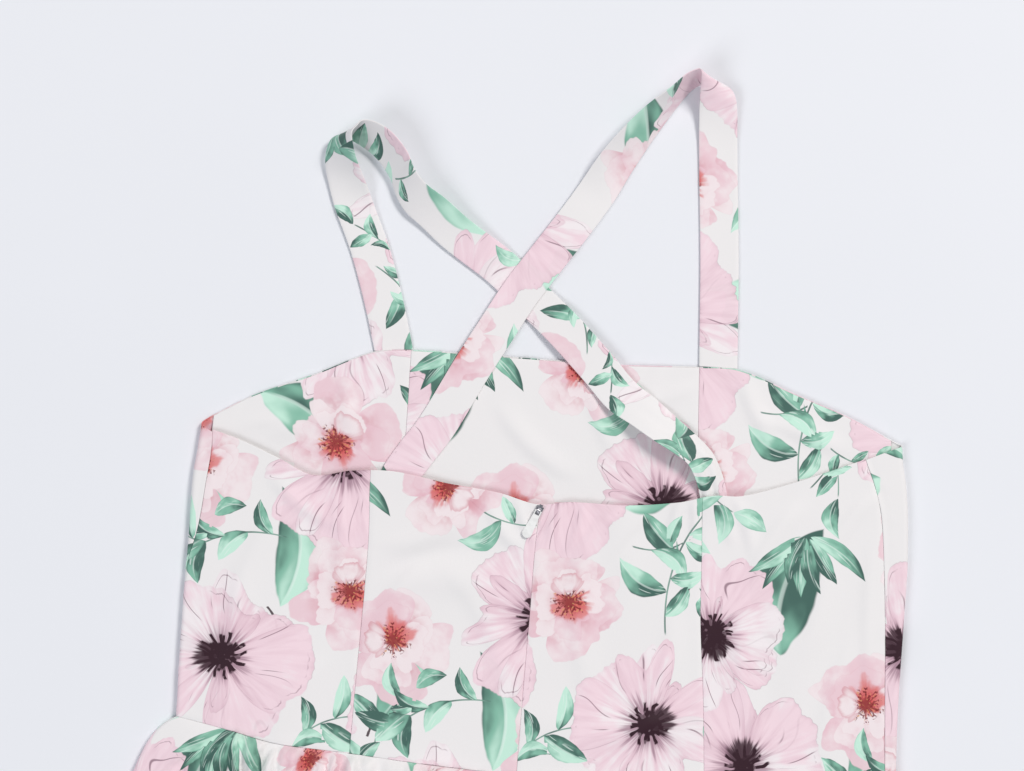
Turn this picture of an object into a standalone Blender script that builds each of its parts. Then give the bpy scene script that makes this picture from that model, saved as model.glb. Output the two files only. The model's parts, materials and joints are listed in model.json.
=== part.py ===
"""A strappy dress laid flat on its front, back side up, with its bodice cut in panels, two crossed
shoulder straps, a closed zip at the centre back and a gathered skirt.

+Z is up from the surface, +Y runs from the hem to the straps and +X to the viewer's right as the back
is seen. Sizes are in millimetres, measured from the waist seam at the centre back, and the whole dress
is moved at the end so that its origin is the centre of its footprint.
"""

import math
from collections import namedtuple

import bmesh
import bpy
from mathutils import Matrix, Vector

MM = 0.001

# Thicknesses, and the gap between one piece and the next
CLOTH = 1.2
FACING = 1.0
STRAP = 1.5
TAPE = 0.8
GAP = 0.3
WAIST_GAP = 0.6
SIDE_SEAM_GAP = 0.8

# Heights of the middle of each layer, from the surface up
FRONT_LEVEL = CLOTH / 2
FACING_LEVEL = CLOTH + GAP + FACING / 2
BACK_LEVEL = CLOTH + GAP + FACING + GAP + STRAP + GAP + CLOTH / 2
TAPE_LEVEL = BACK_LEVEL - CLOTH / 2 - GAP - TAPE / 2

STRAP_WIDTH = 24
TAPE_WIDTH = 22
TAPE_SETBACK = 1
TAPE_OVERRUN = 4
FACING_SETBACK = 2
FACING_DEPTH = 96
FACING_DIP = 40
FACING_DIP_SLOPE = 5
FACING_CLEAR_OF_FOLD = 4

# How finely the bodice's panels are divided
PANEL_ROWS = 9
FOLDED_PANEL_ROWS = 16
PANEL_COLUMNS = 8
FLAT_COLUMNS = 4
FOLD_COLUMNS = 18
FACING_ROWS = 3
FACING_COLUMNS = 12
EDGE_STEPS = 6
LEFT_FOLD_WINDOW = 22
RIGHT_FOLD_WINDOW = 36

# The bodice at each height above the waist: its folded edges, the seams across it, and how far each
# side seam lies from the folded edge along the cloth, positive on the back and negative underneath.
Section = namedtuple(
    "Section",
    "height left_edge left_seam back_left zip back_right right_seam right_edge front_left front_right",
)
BODICE = (
    Section(-12, -224, -3, -116, -11, 107, 7.5, 226, -112, 106),
    Section(50, -224.5, -3, -114, -9.5, 103, 9.5, 224.5, -106, 102),
    Section(100, -224, -2, -112, -8, 98.5, 12.5, 225, -100, 98),
    Section(140, -223, 6.5, -111, -7, 97, 16, 225.5, -96, 95),
    Section(172, -222.5, 10, -112, -5, 95.5, 18, 224, -93, 93),
    Section(190, -220.5, 10, -112, -4.5, 95, 21, 222, -92, 92),
    Section(210, -218.5, 8, -112, -4, 95, 25, 218.5, -91.5, 91),
    Section(262, -216, 8, -112, -4, 95, 26, 215, -91, 89),
)

# Edges that run across: place along the cloth, then height above the waist at the centre back
Edge = namedtuple("Edge", "place height")
WAIST = (
    Edge(-230, 23.5),
    Edge(-200, 17.5),
    Edge(-162, 9),
    Edge(-118, 5.5),
    Edge(-60, 0.5),
    Edge(0, -2.5),
    Edge(110, -3),
    Edge(232, 5),
)
BACK_TOP = (
    Edge(-216, 203.5),
    Edge(-193, 196.5),
    Edge(-170, 187),
    Edge(-148, 177.5),
    Edge(-124, 181.5),
    Edge(-97, 182.5),
    Edge(-64, 177),
    Edge(-32, 173),
    Edge(-7, 167),
    Edge(13, 169.5),
    Edge(49, 169.5),
    Edge(80, 173),
    Edge(102, 178.5),
    Edge(121, 179.5),
    Edge(155, 190.5),
    Edge(187, 203),
    Edge(200, 208),
)
FRONT_TOP = (
    Edge(-234, 199),
    Edge(-227.8, 201.5),
    Edge(-221, 205.5),
    Edge(-212, 211.5),
    Edge(-188, 225),
    Edge(-150, 240.5),
    Edge(-114, 256.5),
    Edge(-90, 258.7),
    Edge(-20, 257.7),
    Edge(40, 256.8),
    Edge(90, 258.2),
    Edge(114, 257.6),
    Edge(150, 244.5),
    Edge(184, 232),
    Edge(214, 218),
    Edge(222, 215),
    Edge(244.8, 206),
    Edge(252, 203),
)

# Rises of the laid back: over the two strap ends, at the zip and in its soft folds
Rise = namedtuple("Rise", "x y height wide long")
RISES = (
    Rise(103, 182, 3.0, 22, 17),
    Rise(-95, 182, 0.8, 22, 14),
    Rise(-60, 118, 1.6, 42, 11),
    Rise(48, 142, 1.5, 13, 30),
    Rise(160, 70, 1.5, 16, 52),
    Rise(-165, 60, 1.5, 20, 45),
    Rise(40, 30, 1.5, 55, 12),
)

# The straps, from the front's top edge over the shoulder loop to the back's top edge: the middle of
# the band, the plan heading of its width, how steeply that width stands, its height, and the share of
# its width that isn't pleated away
Station = namedtuple("Station", "x y heading pitch z wide", defaults=(1,))
Numbered = namedtuple("Numbered", ("number",) + Station._fields)
LEFT_STRAP = (
    Station(-110, 288, 15, 0, 0.8),
    Station(-120, 319, 15, 0, 0.8),
    Station(-131, 345, 14, 2, 1.7),
    Station(-137, 361, 11, 17, 5),
    Station(-141, 373, 8, 32, 9.5),
    Station(-142, 382, 10, 45, 13.5),
    Station(-141, 389, 12, 58, 15),
    Station(-137, 392, 26, 70, 13.5),
    Station(-132, 393, 60, 70, 12.4),
    Station(-123, 390, 75, 60, 11.4),
    Station(-114, 384, 66, 54, 11),
    Station(-105, 373, 60, 52, 10.6),
    Station(-100, 362, 58, 50, 10.4),
    Station(-93, 353, 54, 42, 9.3),
    Station(-82, 345, 50, 28, 6.6),
    Station(-66, 332, 49, 10, 3),
    Station(-38, 313, 51, 0, 0.8),
    Station(-14, 292, 48, 0, 0.8),
    Station(4, 276, 46, 0, 3),
    Station(26, 254, 45, 0, 3.9),
    Station(41, 238, 47, -6, 5.3),
    Station(56, 228, 45, -14, 7.3, 0.97),
    Station(70, 218, 40, -22, 9, 0.93),
    Station(82, 210, 33, -26, 9.2, 0.88),
    Station(92, 202, 24, -26, 8.4, 0.82),
    Station(98, 192, 14, -18, 6.6, 0.76),
    Station(102, 180, 6, -5, 4.25, 0.72),
    Station(103, 168, 3, 0, 3.75, 0.72),
)
RIGHT_STRAP = (
    Station(100, 282, 3, 0, 0.8),
    Station(98, 326, 3, 0, 0.8),
    Station(95, 370, 3, 0, 0.8),
    Station(93, 400, 1, 0, 1.5),
    Station(92, 417, -2, -4, 4.4),
    Station(91, 427, -6, -16, 8.5),
    Station(89, 434, -10, -35, 11.5),
    Station(85, 438, -22, -57, 12.5),
    Station(79, 438, -54, -68, 12.2),
    Station(72, 434, -60, -67, 12),
    Station(63, 424, -60, -61, 11.5),
    Station(52, 412, -48, -48, 9.8),
    Station(41, 398, -38, -36, 8),
    Station(30, 382, -32, -20, 5),
    Station(19, 363, -32, -4, 2.4),
    Station(6, 343, -34, 0, 2.4),
    Station(-10, 320, -35, 0, 2.7),
    Station(-25, 298, -33, 0, 2.8),
    Station(-40, 272, -30, 0, 3.3),
    Station(-54, 247, -29, 0, 3.7),
    Station(-72, 213, -29, 0, 3.7),
    Station(-85, 194, -29, 0, 3.8),
    Station(-93, 181, -20, 0, 3.8),
    Station(-97, 169, -16, 0, 3.65),
)
STRAP_FOOT_LEFT = -102
STRAP_FOOT_RIGHT = 101
STEPS_PER_STATION = 2
TAPE_ROWS = 6

# The skirt: gathered at the waist, flared in rays from it, and wrapped a little round each side
SKIRT_LENGTH = 560
FLARE = math.radians(19)
SHOULDER = 13
SHOULDER_DROP = 8
GATHERS = 24
POINTS_PER_GATHER = 4
CALM_GATHERS = 2
FOLD_PHASE = 0.9
TUCK_UNDER = 12.4
TUCK_OVER = 3.9
TURN_STEPS = 6
# How far down the skirt each row lies, how high the back lies there, and the depth of its gathers, of
# the folds that pairs of gathers run into, and of the front's gathers underneath
Row = namedtuple("Row", "down level gather fold front")
SKIRT = (
    Row(0, BACK_LEVEL, 0, 0, 0),
    Row(8, BACK_LEVEL, 3.2, 0.5, 1.6),
    Row(24, BACK_LEVEL, 5.0, 1.5, 2.6),
    Row(60, BACK_LEVEL, 4.4, 3.2, 2.2),
    Row(120, 4.9, 3.2, 4.5, 1.2),
    Row(220, 3.2, 1.8, 5.5, 0),
    Row(330, 2.6, 1.0, 6.2, 0),
    Row(450, 2.6, 0.6, 6.6, 0),
    Row(SKIRT_LENGTH, 2.6, 0.4, 7.0, 0),
)

# The zip's slider and pull tab
SLIDER_PLACE = (-6.2, 163.0)
SLIDER_SKEW = math.radians(-24)
SLIDER_WIDTH = 4.6
SLIDER_LENGTH = 8.5
SLIDER_THICKNESS = 1.4
SLIDER_CORNER = 1.2
BRIDGE_WIDTH = 2.0
BRIDGE_OUTER = 1.7
BRIDGE_INNER = 0.8
PULL_THICKNESS = 0.7
PULL_LENGTH = 18.5
PULL_NECK = 2.2
PULL_BELLY = 3.1
PULL_SHOULDER = 1.2
PULL_WINDOW = (1.4, 2.7)
PULL_DROOP = math.radians(4)

FLORAL = (0.93, 0.86, 0.87)
PALE_FLORAL = (0.94, 0.92, 0.92)
WHITE_TAPE = (0.92, 0.92, 0.92)
STEEL = (0.72, 0.72, 0.74)
WHITE_ENAMEL = (0.93, 0.93, 0.92)


def on_curve(rows, place, column):
    """A table's column at a place in its first column, on a smooth curve through its rows."""
    places = [row[0] for row in rows]
    place = min(max(place, places[0]), places[-1])
    i = max(k for k in range(len(rows) - 1) if places[k] <= place)
    span = places[i + 1] - places[i]
    t = (place - places[i]) / span
    value = [getattr(row, column) for row in rows]

    def slope(k):
        low, high = max(k - 1, 0), min(k + 1, len(rows) - 1)
        return (value[high] - value[low]) / (places[high] - places[low]) * span

    square, cube = t * t, t * t * t
    return (
        (2 * cube - 3 * square + 1) * value[i]
        + (cube - 2 * square + t) * slope(i)
        + (3 * square - 2 * cube) * value[i + 1]
        + (cube - square) * slope(i + 1)
    )


def bodice(column, height):
    return on_curve(BODICE, height, column)


def waist(x):
    return on_curve(WAIST, x, "height")


def rise(x, y):
    """How far the laid back stands above its level."""
    return sum(
        r.height * math.exp(-(((x - r.x) / r.wide) ** 2) - ((y - r.y) / r.long) ** 2)
        for r in RISES
    )


def round_the_side(place, y, level, other_level):
    """Plan x and height of a place along the cloth, which turns round a folded edge to the other layer."""
    radius = abs(other_level - level) / 2
    middle = (level + other_level) / 2
    towards = 1 if level > other_level else -1
    left = bodice("left_edge", y) + radius
    right = bodice("right_edge", y) - radius
    past = max(left - place, place - right)
    if past <= 0:
        return place, level
    turn = past / radius
    if turn < math.pi:
        out = radius * math.sin(turn)
        height = middle + towards * radius * math.cos(turn)
    else:
        out = radius * (math.pi - turn)
        height = other_level
    return (left - out if place < left else right + out), height


def side_seam(side, layer, y):
    """Place along the cloth of a side seam, seen from the back layer or from the front one."""
    radius = (BACK_LEVEL - FRONT_LEVEL) / 2
    outermost = math.pi * radius / 2 - radius
    towards = 1 if layer == "back" else -1
    inset = bodice(side + "_seam", y) * towards + (SIDE_SEAM_GAP - GAP) / 2
    if side == "left":
        return bodice("left_edge", y) - outermost + inset
    return bodice("right_edge", y) + outermost - inset


def bodice_point(layer, place, y):
    """The point of the bodice's outer cloth at a place along it, at height y."""
    level, other = (
        (BACK_LEVEL, FRONT_LEVEL) if layer == "back" else (FRONT_LEVEL, BACK_LEVEL)
    )
    x, z = round_the_side(place, y, level, other)
    on_back = (z - FRONT_LEVEL) / (BACK_LEVEL - FRONT_LEVEL)
    return Vector((x, y, z + rise(x, y) * on_back**2))


def material(name, colour, roughness, metallic=0.0):
    made = bpy.data.materials.get(name) or bpy.data.materials.new(name)
    made.use_nodes = True
    shader = made.node_tree.nodes["Principled BSDF"]
    shader.inputs["Base Color"].default_value = (*colour, 1)
    shader.inputs["Roughness"].default_value = roughness
    shader.inputs["Metallic"].default_value = metallic
    return made


def place_in_dress(piece, root, parts, finish):
    parts.objects.link(piece)
    piece.parent = root
    piece.data.materials.clear()
    piece.data.materials.append(finish)
    return piece


def cloth(name, point, across, down, thickness, dress, finish):
    """A piece of cloth: a grid laid through point(a, d), thickened evenly into a closed wall."""
    mesh = bmesh.new()
    bmesh.ops.create_grid(
        mesh, x_segments=len(across) - 1, y_segments=len(down) - 1, size=0.5
    )
    for vertex in mesh.verts:
        column = round((vertex.co.x + 0.5) * (len(across) - 1))
        row = round((0.5 - vertex.co.y) * (len(down) - 1))
        vertex.co = point(across[column], down[row]) * MM
    data = bpy.data.meshes.new(name)
    mesh.to_mesh(data)
    mesh.free()
    data.shade_smooth()
    data.set_sharp_from_angle(angle=math.radians(40))
    piece = bpy.data.objects.new(name, data)
    wall = piece.modifiers.new("Wall", "SOLIDIFY")
    wall.thickness = thickness * MM
    wall.offset = 0
    wall.use_even_offset = True
    return place_in_dress(piece, dress.root, dress.parts, finish)


def evenly(start, end, count):
    return [start + (end - start) * k / count for k in range(count + 1)]


def columns(width, folded):
    """Shares of a panel's width, closer together beside the side that turns round a folded edge."""
    if not folded:
        return evenly(0, 1, PANEL_COLUMNS)
    window = LEFT_FOLD_WINDOW if folded == "left" else RIGHT_FOLD_WINDOW
    flat = 1 - window / width
    shares = evenly(0, flat, FLAT_COLUMNS) + evenly(flat, 1, FOLD_COLUMNS)[1:]
    return shares if folded == "right" else [1 - share for share in reversed(shares)]


def meet_edge(edge, start, end, across):
    """Height at which a share of the way from one seam to the next meets an edge of the cloth."""
    height = edge[len(edge) // 2].height
    for _ in range(EDGE_STEPS):
        place = start(height) + (end(height) - start(height)) * across
        height = on_curve(edge, place, "height")
    return height


def panel_point(layer, start, end, top):
    """point(across, down) of a panel between two seams, from its top edge to the waist."""

    def at(across, down):
        highest = meet_edge(top, start, end, across)
        place = start(0) + (end(0) - start(0)) * across
        lowest = waist(round_the_side(place, 0, FRONT_LEVEL, BACK_LEVEL)[0]) + GAP / 2
        y = highest + (lowest - highest) * down
        return bodice_point(layer, start(y) + (end(y) - start(y)) * across, y)

    return at


def bodice_panel(name, layer, start, end, folded, dress, finish):
    """A bodice panel from one seam to the next, both given as functions of height, left to right."""
    shares = columns(end(0) - start(0), folded)
    rows = evenly(0, 1, FOLDED_PANEL_ROWS if folded else PANEL_ROWS)
    top = BACK_TOP if layer == "back" else FRONT_TOP
    point = panel_point(layer, right_of(start), left_of(end), top)
    return cloth(name, point, shares, rows, CLOTH, dress, finish)


def seam(column):
    return lambda y: bodice(column, y)


def side(which, layer):
    return lambda y: side_seam(which, layer, y)


def right_of(line):
    return lambda y: line(y) + GAP / 2


def left_of(line):
    return lambda y: line(y) - GAP / 2


def add_bodice(dress):
    finish = material("floral_cloth", FLORAL, 0.62)
    back = (
        ("back_side_left", side("left", "back"), seam("back_left"), "left"),
        ("back_centre_left", seam("back_left"), seam("zip"), None),
        ("back_centre_right", seam("zip"), seam("back_right"), None),
        ("back_side_right", seam("back_right"), side("right", "back"), None),
    )
    front = (
        ("front_side_left", side("left", "front"), seam("front_left"), "left"),
        ("front_centre", seam("front_left"), seam("front_right"), None),
        ("front_side_right", seam("front_right"), side("right", "front"), "right"),
    )
    for name, start, end, folded in back:
        bodice_panel(name, "back", start, end, folded, dress, finish)
    for name, start, end, folded in front:
        bodice_panel(name, "front", start, end, folded, dress, finish)


def facing_lowest(place):
    """Height of the facing's lower edge, hidden under the back and lowest in the middle."""
    dip = max(0, FACING_DIP - abs(place) / FACING_DIP_SLOPE)
    return on_curve(FRONT_TOP, place, "height") - FACING_DEPTH - dip


def facing_point(start, end):
    """point(across, down) of the front's inside between two seams."""

    def at(across, down):
        highest = meet_edge(FRONT_TOP, start, end, across) - FACING_SETBACK
        lowest = facing_lowest(start(highest) + (end(highest) - start(highest)) * across)
        y = highest + (lowest - highest) * down
        return Vector((start(y) + (end(y) - start(y)) * across, y, FACING_LEVEL))

    return at


def add_facings(dress):
    """The front's inside, seen above the back's top edge, ends a little below that edge."""
    finish = material("floral_facing", PALE_FLORAL, 0.62)
    clear_of_fold = BACK_LEVEL / 2 + FACING_CLEAR_OF_FOLD

    def left_end(y):
        return bodice("left_edge", y) + clear_of_fold

    def right_end(y):
        return bodice("right_edge", y) - clear_of_fold

    pieces = (
        ("facing_left", left_end, seam("front_left")),
        ("facing_centre", seam("front_left"), seam("front_right")),
        ("facing_right", seam("front_right"), right_end),
    )
    across = evenly(0, 1, FACING_COLUMNS)
    down = evenly(0, 1, FACING_ROWS)
    for name, start, end in pieces:
        point = facing_point(right_of(start), left_of(end))
        cloth(name, point, across, down, FACING, dress, finish)


def strap_stations(stations, foot):
    """The strap's stations with the first laid along the front's top edge at its foot."""
    step = STRAP_WIDTH / 2
    left = on_curve(FRONT_TOP, foot - step, "height")
    right = on_curve(FRONT_TOP, foot + step, "height")
    heading = math.degrees(math.atan2(right - left, STRAP_WIDTH))
    start = Station(foot, (left + right) / 2 + GAP, heading, 0, STRAP / 2)
    return (start, *stations)


def add_strap(name, stations, foot, dress):
    """A band whose width follows the stations' heading and pitch."""
    table = [Numbered(k, *row) for k, row in enumerate(strap_stations(stations, foot))]
    last = table[-1].number

    def at(across, number):
        x, y, heading, pitch, z, share = (
            on_curve(table, number, column) for column in Station._fields
        )
        heading, pitch = math.radians(heading), math.radians(pitch)
        wide = Vector(
            (
                math.cos(heading) * math.cos(pitch),
                math.sin(heading) * math.cos(pitch),
                math.sin(pitch),
            )
        )
        half = share * STRAP_WIDTH / 2
        z = max(z, STRAP / 2 + abs(wide.z) * half)
        return Vector((x, y, z)) + wide * across * half

    finish = material("floral_strap", FLORAL, 0.62)
    down = evenly(last, 0, last * STEPS_PER_STATION)
    return cloth(name, at, (-1, 0, 1), down, STRAP, dress, finish)


def skirt_plan(place, down, half):
    """Plan point of a place across the skirt, half wide at the waist, at a distance down its rays."""
    share = place / half
    bulge = SHOULDER * share**3 * (1 - math.exp(-down / SHOULDER_DROP))
    x = place + down * math.sin(FLARE * share) + bulge
    return x, waist(place) + GAP / 2 - WAIST_GAP - down * math.cos(FLARE * share)


def skirt_point(layer, part, down):
    """The skirt at a part of its way round: 0 to 1 lies flat, 1 to 2 turns round a side, 2 to 3 is
    tucked beyond it. The back turns round the left side and the front round the right."""
    level = on_curve(SKIRT, down, "level")
    radius = (level - FRONT_LEVEL) / 2
    outward = -1 if layer == "back" else 1
    half = abs(bodice("left_edge" if layer == "back" else "right_edge", 0))
    other_half = abs(bodice("right_edge" if layer == "back" else "left_edge", 0))
    tucked_here = TUCK_OVER if layer == "back" else TUCK_UNDER
    tuck = TUCK_UNDER if layer == "back" else TUCK_OVER
    start = -(other_half - radius - tucked_here - GAP)
    flat_end = half - radius
    own_level = level if layer == "back" else FRONT_LEVEL
    middle = (level + FRONT_LEVEL) / 2
    if part <= 1:
        place = start + (flat_end - start) * part
        own_level += skirt_wave(layer, part, down)
    elif part <= 2:
        turn = (part - 1) * math.pi
        place = flat_end + radius * math.sin(turn)
        own_level = middle + (own_level - middle) * math.cos(turn)
    else:
        place = flat_end - (part - 2) * tuck
        own_level = level if layer == "front" else FRONT_LEVEL
    x, y = skirt_plan(outward * place, down, half if place > 0 else other_half)
    return Vector((x, y, own_level))


def skirt_wave(layer, part, down):
    """Height of the gathers above the layer's level, nothing at the seams and at the folded side."""
    calm = min(1, part * GATHERS / CALM_GATHERS, (1 - part) * GATHERS / CALM_GATHERS)
    turn = part * GATHERS * 2 * math.pi
    single = (1 - math.cos(turn)) / 2
    double = (1 - math.cos(turn / 2 + FOLD_PHASE)) / 2
    if layer == "front":
        return calm * on_curve(SKIRT, down, "front") * single
    gather = on_curve(SKIRT, down, "gather") * single
    return calm * (gather + on_curve(SKIRT, down, "fold") * double)


def add_skirt(dress):
    finish = material("floral_skirt", FLORAL, 0.62)
    flat = evenly(0, 1, GATHERS * POINTS_PER_GATHER)
    round_side = evenly(1, 2, TURN_STEPS)[1:]
    across = flat + round_side + evenly(2, 3, 2)[1:]
    down = [row.down for row in SKIRT]
    for layer in ("back", "front"):
        parts = across if layer == "front" else across[::-1]

        def at(part, distance, layer=layer):
            return skirt_point(layer, part, distance)

        cloth("skirt_" + layer, at, parts, down, CLOTH, dress, finish)


def add_zip_tape(dress):
    top = on_curve(BACK_TOP, SLIDER_PLACE[0], "height") - TAPE_SETBACK
    bottom = waist(bodice("zip", 0)) + TAPE_OVERRUN

    def at(across, down):
        y = top + (bottom - top) * down
        return Vector((bodice("zip", y) + across * TAPE_WIDTH / 2, y, TAPE_LEVEL))

    finish = material("zip_tape", WHITE_TAPE, 0.7)
    return cloth("zip_tape", at, (-1, 1), evenly(0, 1, TAPE_ROWS), TAPE, dress, finish)


def outline_solid(name, outlines, thickness):
    """A flat outline, with any holes, as a solid of that thickness centred on its plane."""
    curve = bpy.data.curves.new(name, "CURVE")
    curve.dimensions = "2D"
    curve.fill_mode = "BOTH"
    curve.extrude = thickness / 2 * MM
    for outline in outlines:
        spline = curve.splines.new("POLY")
        spline.points.add(len(outline) - 1)
        for point, (x, y) in zip(spline.points, outline):
            point.co = (x * MM, y * MM, 0, 1)
        spline.use_cyclic_u = True
    drawn = bpy.data.objects.new(name + "_outline", curve)
    bpy.context.scene.collection.objects.link(drawn)
    data = bpy.data.meshes.new_from_object(
        drawn.evaluated_get(bpy.context.evaluated_depsgraph_get())
    )
    bpy.data.objects.remove(drawn)
    mesh = bmesh.new()
    mesh.from_mesh(data)
    bmesh.ops.remove_doubles(mesh, verts=mesh.verts, dist=1e-6)
    bmesh.ops.recalc_face_normals(mesh, faces=mesh.faces)
    mesh.to_mesh(data)
    mesh.free()
    data.name = name
    return bpy.data.objects.new(name, data)


def arc(radius, start, end, count, centre=(0, 0)):
    turns = (math.radians(start + (end - start) * k / count) for k in range(count + 1))
    return [
        (centre[0] + radius * math.cos(t), centre[1] + radius * math.sin(t))
        for t in turns
    ]


def add_slider(dress, finish, floor):
    """The slider's body, with a bridge over the place where the pull tab's bar turns."""
    body = bmesh.new()
    bmesh.ops.create_cube(body, size=1)
    size = Vector((SLIDER_WIDTH, SLIDER_LENGTH, SLIDER_THICKNESS)) * MM
    bmesh.ops.scale(body, vec=size, verts=body.verts)
    upright = [e for e in body.edges if abs(e.verts[0].co.z - e.verts[1].co.z) > 1e-6]
    bmesh.ops.bevel(body, geom=upright, offset=SLIDER_CORNER * MM, segments=3, affect="EDGES")
    data = bpy.data.meshes.new("zip_slider")
    body.to_mesh(data)
    body.free()
    slider = bpy.data.objects.new("zip_slider", data)

    sunk = BRIDGE_INNER + SLIDER_THICKNESS / 2
    feet = [(-BRIDGE_OUTER, -sunk), (-BRIDGE_INNER, -sunk)]
    far_feet = [(BRIDGE_INNER, -sunk), (BRIDGE_OUTER, -sunk)]
    horseshoe = feet + arc(BRIDGE_INNER, 180, 0, 8) + far_feet + arc(BRIDGE_OUTER, 0, 180, 12)
    bridge = outline_solid("bridge", [horseshoe], BRIDGE_WIDTH)
    upright_along_y = Matrix.Rotation(math.radians(90), 4, "Z") @ Matrix.Rotation(
        math.radians(90), 4, "X"
    )
    bridge.data.transform(upright_along_y)
    bridge.data.transform(
        Matrix.Translation((0, 0, (SLIDER_THICKNESS / 2 + BRIDGE_INNER) * MM))
    )
    bridge.hide_render = True
    bridge.display_type = "WIRE"
    dress.cutters.objects.link(bridge)
    bridge.parent = slider
    joined = slider.modifiers.new("Bridge", "BOOLEAN")
    joined.operation = "UNION"
    joined.object = bridge
    slider.location = Vector((*SLIDER_PLACE, floor + SLIDER_THICKNESS / 2)) * MM
    slider.rotation_euler.z = SLIDER_SKEW
    return place_in_dress(slider, dress.root, dress.parts, finish)


def add_pull(dress, finish, axis_height):
    """The pull tab, which turns on the bar at its end, inside the slider's bridge."""
    half_bar = PULL_THICKNESS / 2
    window_half, window_end = PULL_WINDOW
    belly = -(PULL_LENGTH - PULL_BELLY)
    outline = (
        [(PULL_NECK, half_bar), (-PULL_NECK, half_bar)]
        + [(-PULL_NECK, -window_end - PULL_SHOULDER)]
        + arc(PULL_BELLY, 180, 360, 14, (0, belly))
        + [(PULL_NECK, -window_end - PULL_SHOULDER)]
    )
    window = [
        (window_half, -half_bar),
        (-window_half, -half_bar),
        (-window_half, -window_end),
        (window_half, -window_end),
    ]
    pull = outline_solid("zip_pull", [outline, window], PULL_THICKNESS)
    pull.location = Vector((*SLIDER_PLACE, axis_height)) * MM
    pull.rotation_euler = (PULL_DROOP, 0, SLIDER_SKEW)
    return place_in_dress(pull, dress.root, dress.parts, finish)


def add_zip(dress):
    add_zip_tape(dress)
    floor = BACK_LEVEL + CLOTH / 2 + GAP
    axis_height = floor + SLIDER_THICKNESS + BRIDGE_INNER
    add_slider(dress, material("slider_steel", STEEL, 0.3, 1.0), floor)
    add_pull(dress, material("pull_enamel", WHITE_ENAMEL, 0.35), axis_height)


def stand_on_origin(dress):
    """Moves the dress so that its origin is the centre of its footprint, on the surface."""
    bpy.context.view_layer.update()
    graph = bpy.context.evaluated_depsgraph_get()
    corners = [
        piece.evaluated_get(graph).matrix_world @ Vector(corner)
        for piece in dress.parts.objects
        for corner in piece.evaluated_get(graph).bound_box
    ]
    low = Vector(min(c[k] for c in corners) for k in range(3))
    high = Vector(max(c[k] for c in corners) for k in range(3))
    dress.root.location = (-(low.x + high.x) / 2, -(low.y + high.y) / 2, -low.z)


def main():
    for old in list(bpy.data.objects):
        bpy.data.objects.remove(old)
    Dress = namedtuple("Dress", "root parts cutters")
    parts = bpy.data.collections.new("slip_dress")
    cutters = bpy.data.collections.new("cutters")
    bpy.context.scene.collection.children.link(parts)
    bpy.context.scene.collection.children.link(cutters)
    root = bpy.data.objects.new("dress_frame", None)
    bpy.context.scene.collection.objects.link(root)
    dress = Dress(root, parts, cutters)
    add_bodice(dress)
    add_facings(dress)
    add_strap("strap_left", LEFT_STRAP, STRAP_FOOT_LEFT, dress)
    add_strap("strap_right", RIGHT_STRAP, STRAP_FOOT_RIGHT, dress)
    add_skirt(dress)
    add_zip(dress)
    stand_on_origin(dress)


main()
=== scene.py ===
"""The looks of the strappy dress: its cloth with creases and print, its sewing and zip, and the set.

Sizes are in millimetres from the waist seam at the centre back, as in the part's own source. Its
tables are repeated here, but for the left loop's returning band, which lies flatter. Every piece is
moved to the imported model's frame when its mesh is made.
"""

import json
import math
from collections import namedtuple

import bpy
import numpy as np
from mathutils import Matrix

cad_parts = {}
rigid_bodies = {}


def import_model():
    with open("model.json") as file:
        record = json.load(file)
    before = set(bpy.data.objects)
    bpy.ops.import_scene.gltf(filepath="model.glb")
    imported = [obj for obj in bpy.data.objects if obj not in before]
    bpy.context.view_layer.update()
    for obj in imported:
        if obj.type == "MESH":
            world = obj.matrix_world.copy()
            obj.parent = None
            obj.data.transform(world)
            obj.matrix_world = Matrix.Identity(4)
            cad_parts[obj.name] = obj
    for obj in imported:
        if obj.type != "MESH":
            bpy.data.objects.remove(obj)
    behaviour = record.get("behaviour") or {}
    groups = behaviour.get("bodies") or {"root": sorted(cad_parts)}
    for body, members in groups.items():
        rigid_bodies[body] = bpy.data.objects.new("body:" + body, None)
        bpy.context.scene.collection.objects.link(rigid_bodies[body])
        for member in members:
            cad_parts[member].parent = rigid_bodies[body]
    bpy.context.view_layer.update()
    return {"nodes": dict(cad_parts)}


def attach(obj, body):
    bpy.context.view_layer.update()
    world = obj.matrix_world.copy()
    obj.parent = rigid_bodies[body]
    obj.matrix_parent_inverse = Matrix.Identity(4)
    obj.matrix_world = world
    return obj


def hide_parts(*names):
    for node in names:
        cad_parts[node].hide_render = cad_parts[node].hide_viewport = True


def listed(kind, *lines):
    """Plain lines of values as rows of one kind."""
    return tuple(kind(*line) for line in lines)


MM = 0.001
DRESS_TO_ROW = np.array((-0.783, 60.2865, 0.0221))

# Levels of the middle of each layer of the solids, and the gaps between them
CLOTH = 1.2
FACING = 1.0
STRAP = 1.5
TAPE = 0.8
GAP = 0.3
FRONT_LEVEL = CLOTH / 2
FACING_LEVEL = CLOTH + GAP + FACING / 2
BACK_LEVEL = CLOTH + GAP + FACING + GAP + STRAP + GAP + CLOTH / 2
TAPE_LEVEL = BACK_LEVEL - CLOTH / 2 - GAP - TAPE / 2

# The thin cloth that shows, what its turned edges add, and how nearly its sewn edges meet
THIN = 0.6
TURNED = 0.15
STRAP_THIN = 0.95
SEWN = 0.05
FRONT_ROLL = 0.7

STRAP_WIDTH = 24
TAPE_WIDTH = 22
TAPE_SETBACK = 1
TAPE_OVERRUN = 4
SLIDER_X = -6.2
FACING_DEPTH = 96
FACING_DIP = 40
FACING_DIP_SLOPE = 5
FACING_CLEAR_OF_FOLD = 4
FACED_ABOVE = 150
FACED_EASE = 40
EDGE_STEPS = 6
LEFT_FOLD_WINDOW = 22
RIGHT_FOLD_WINDOW = 36

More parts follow.
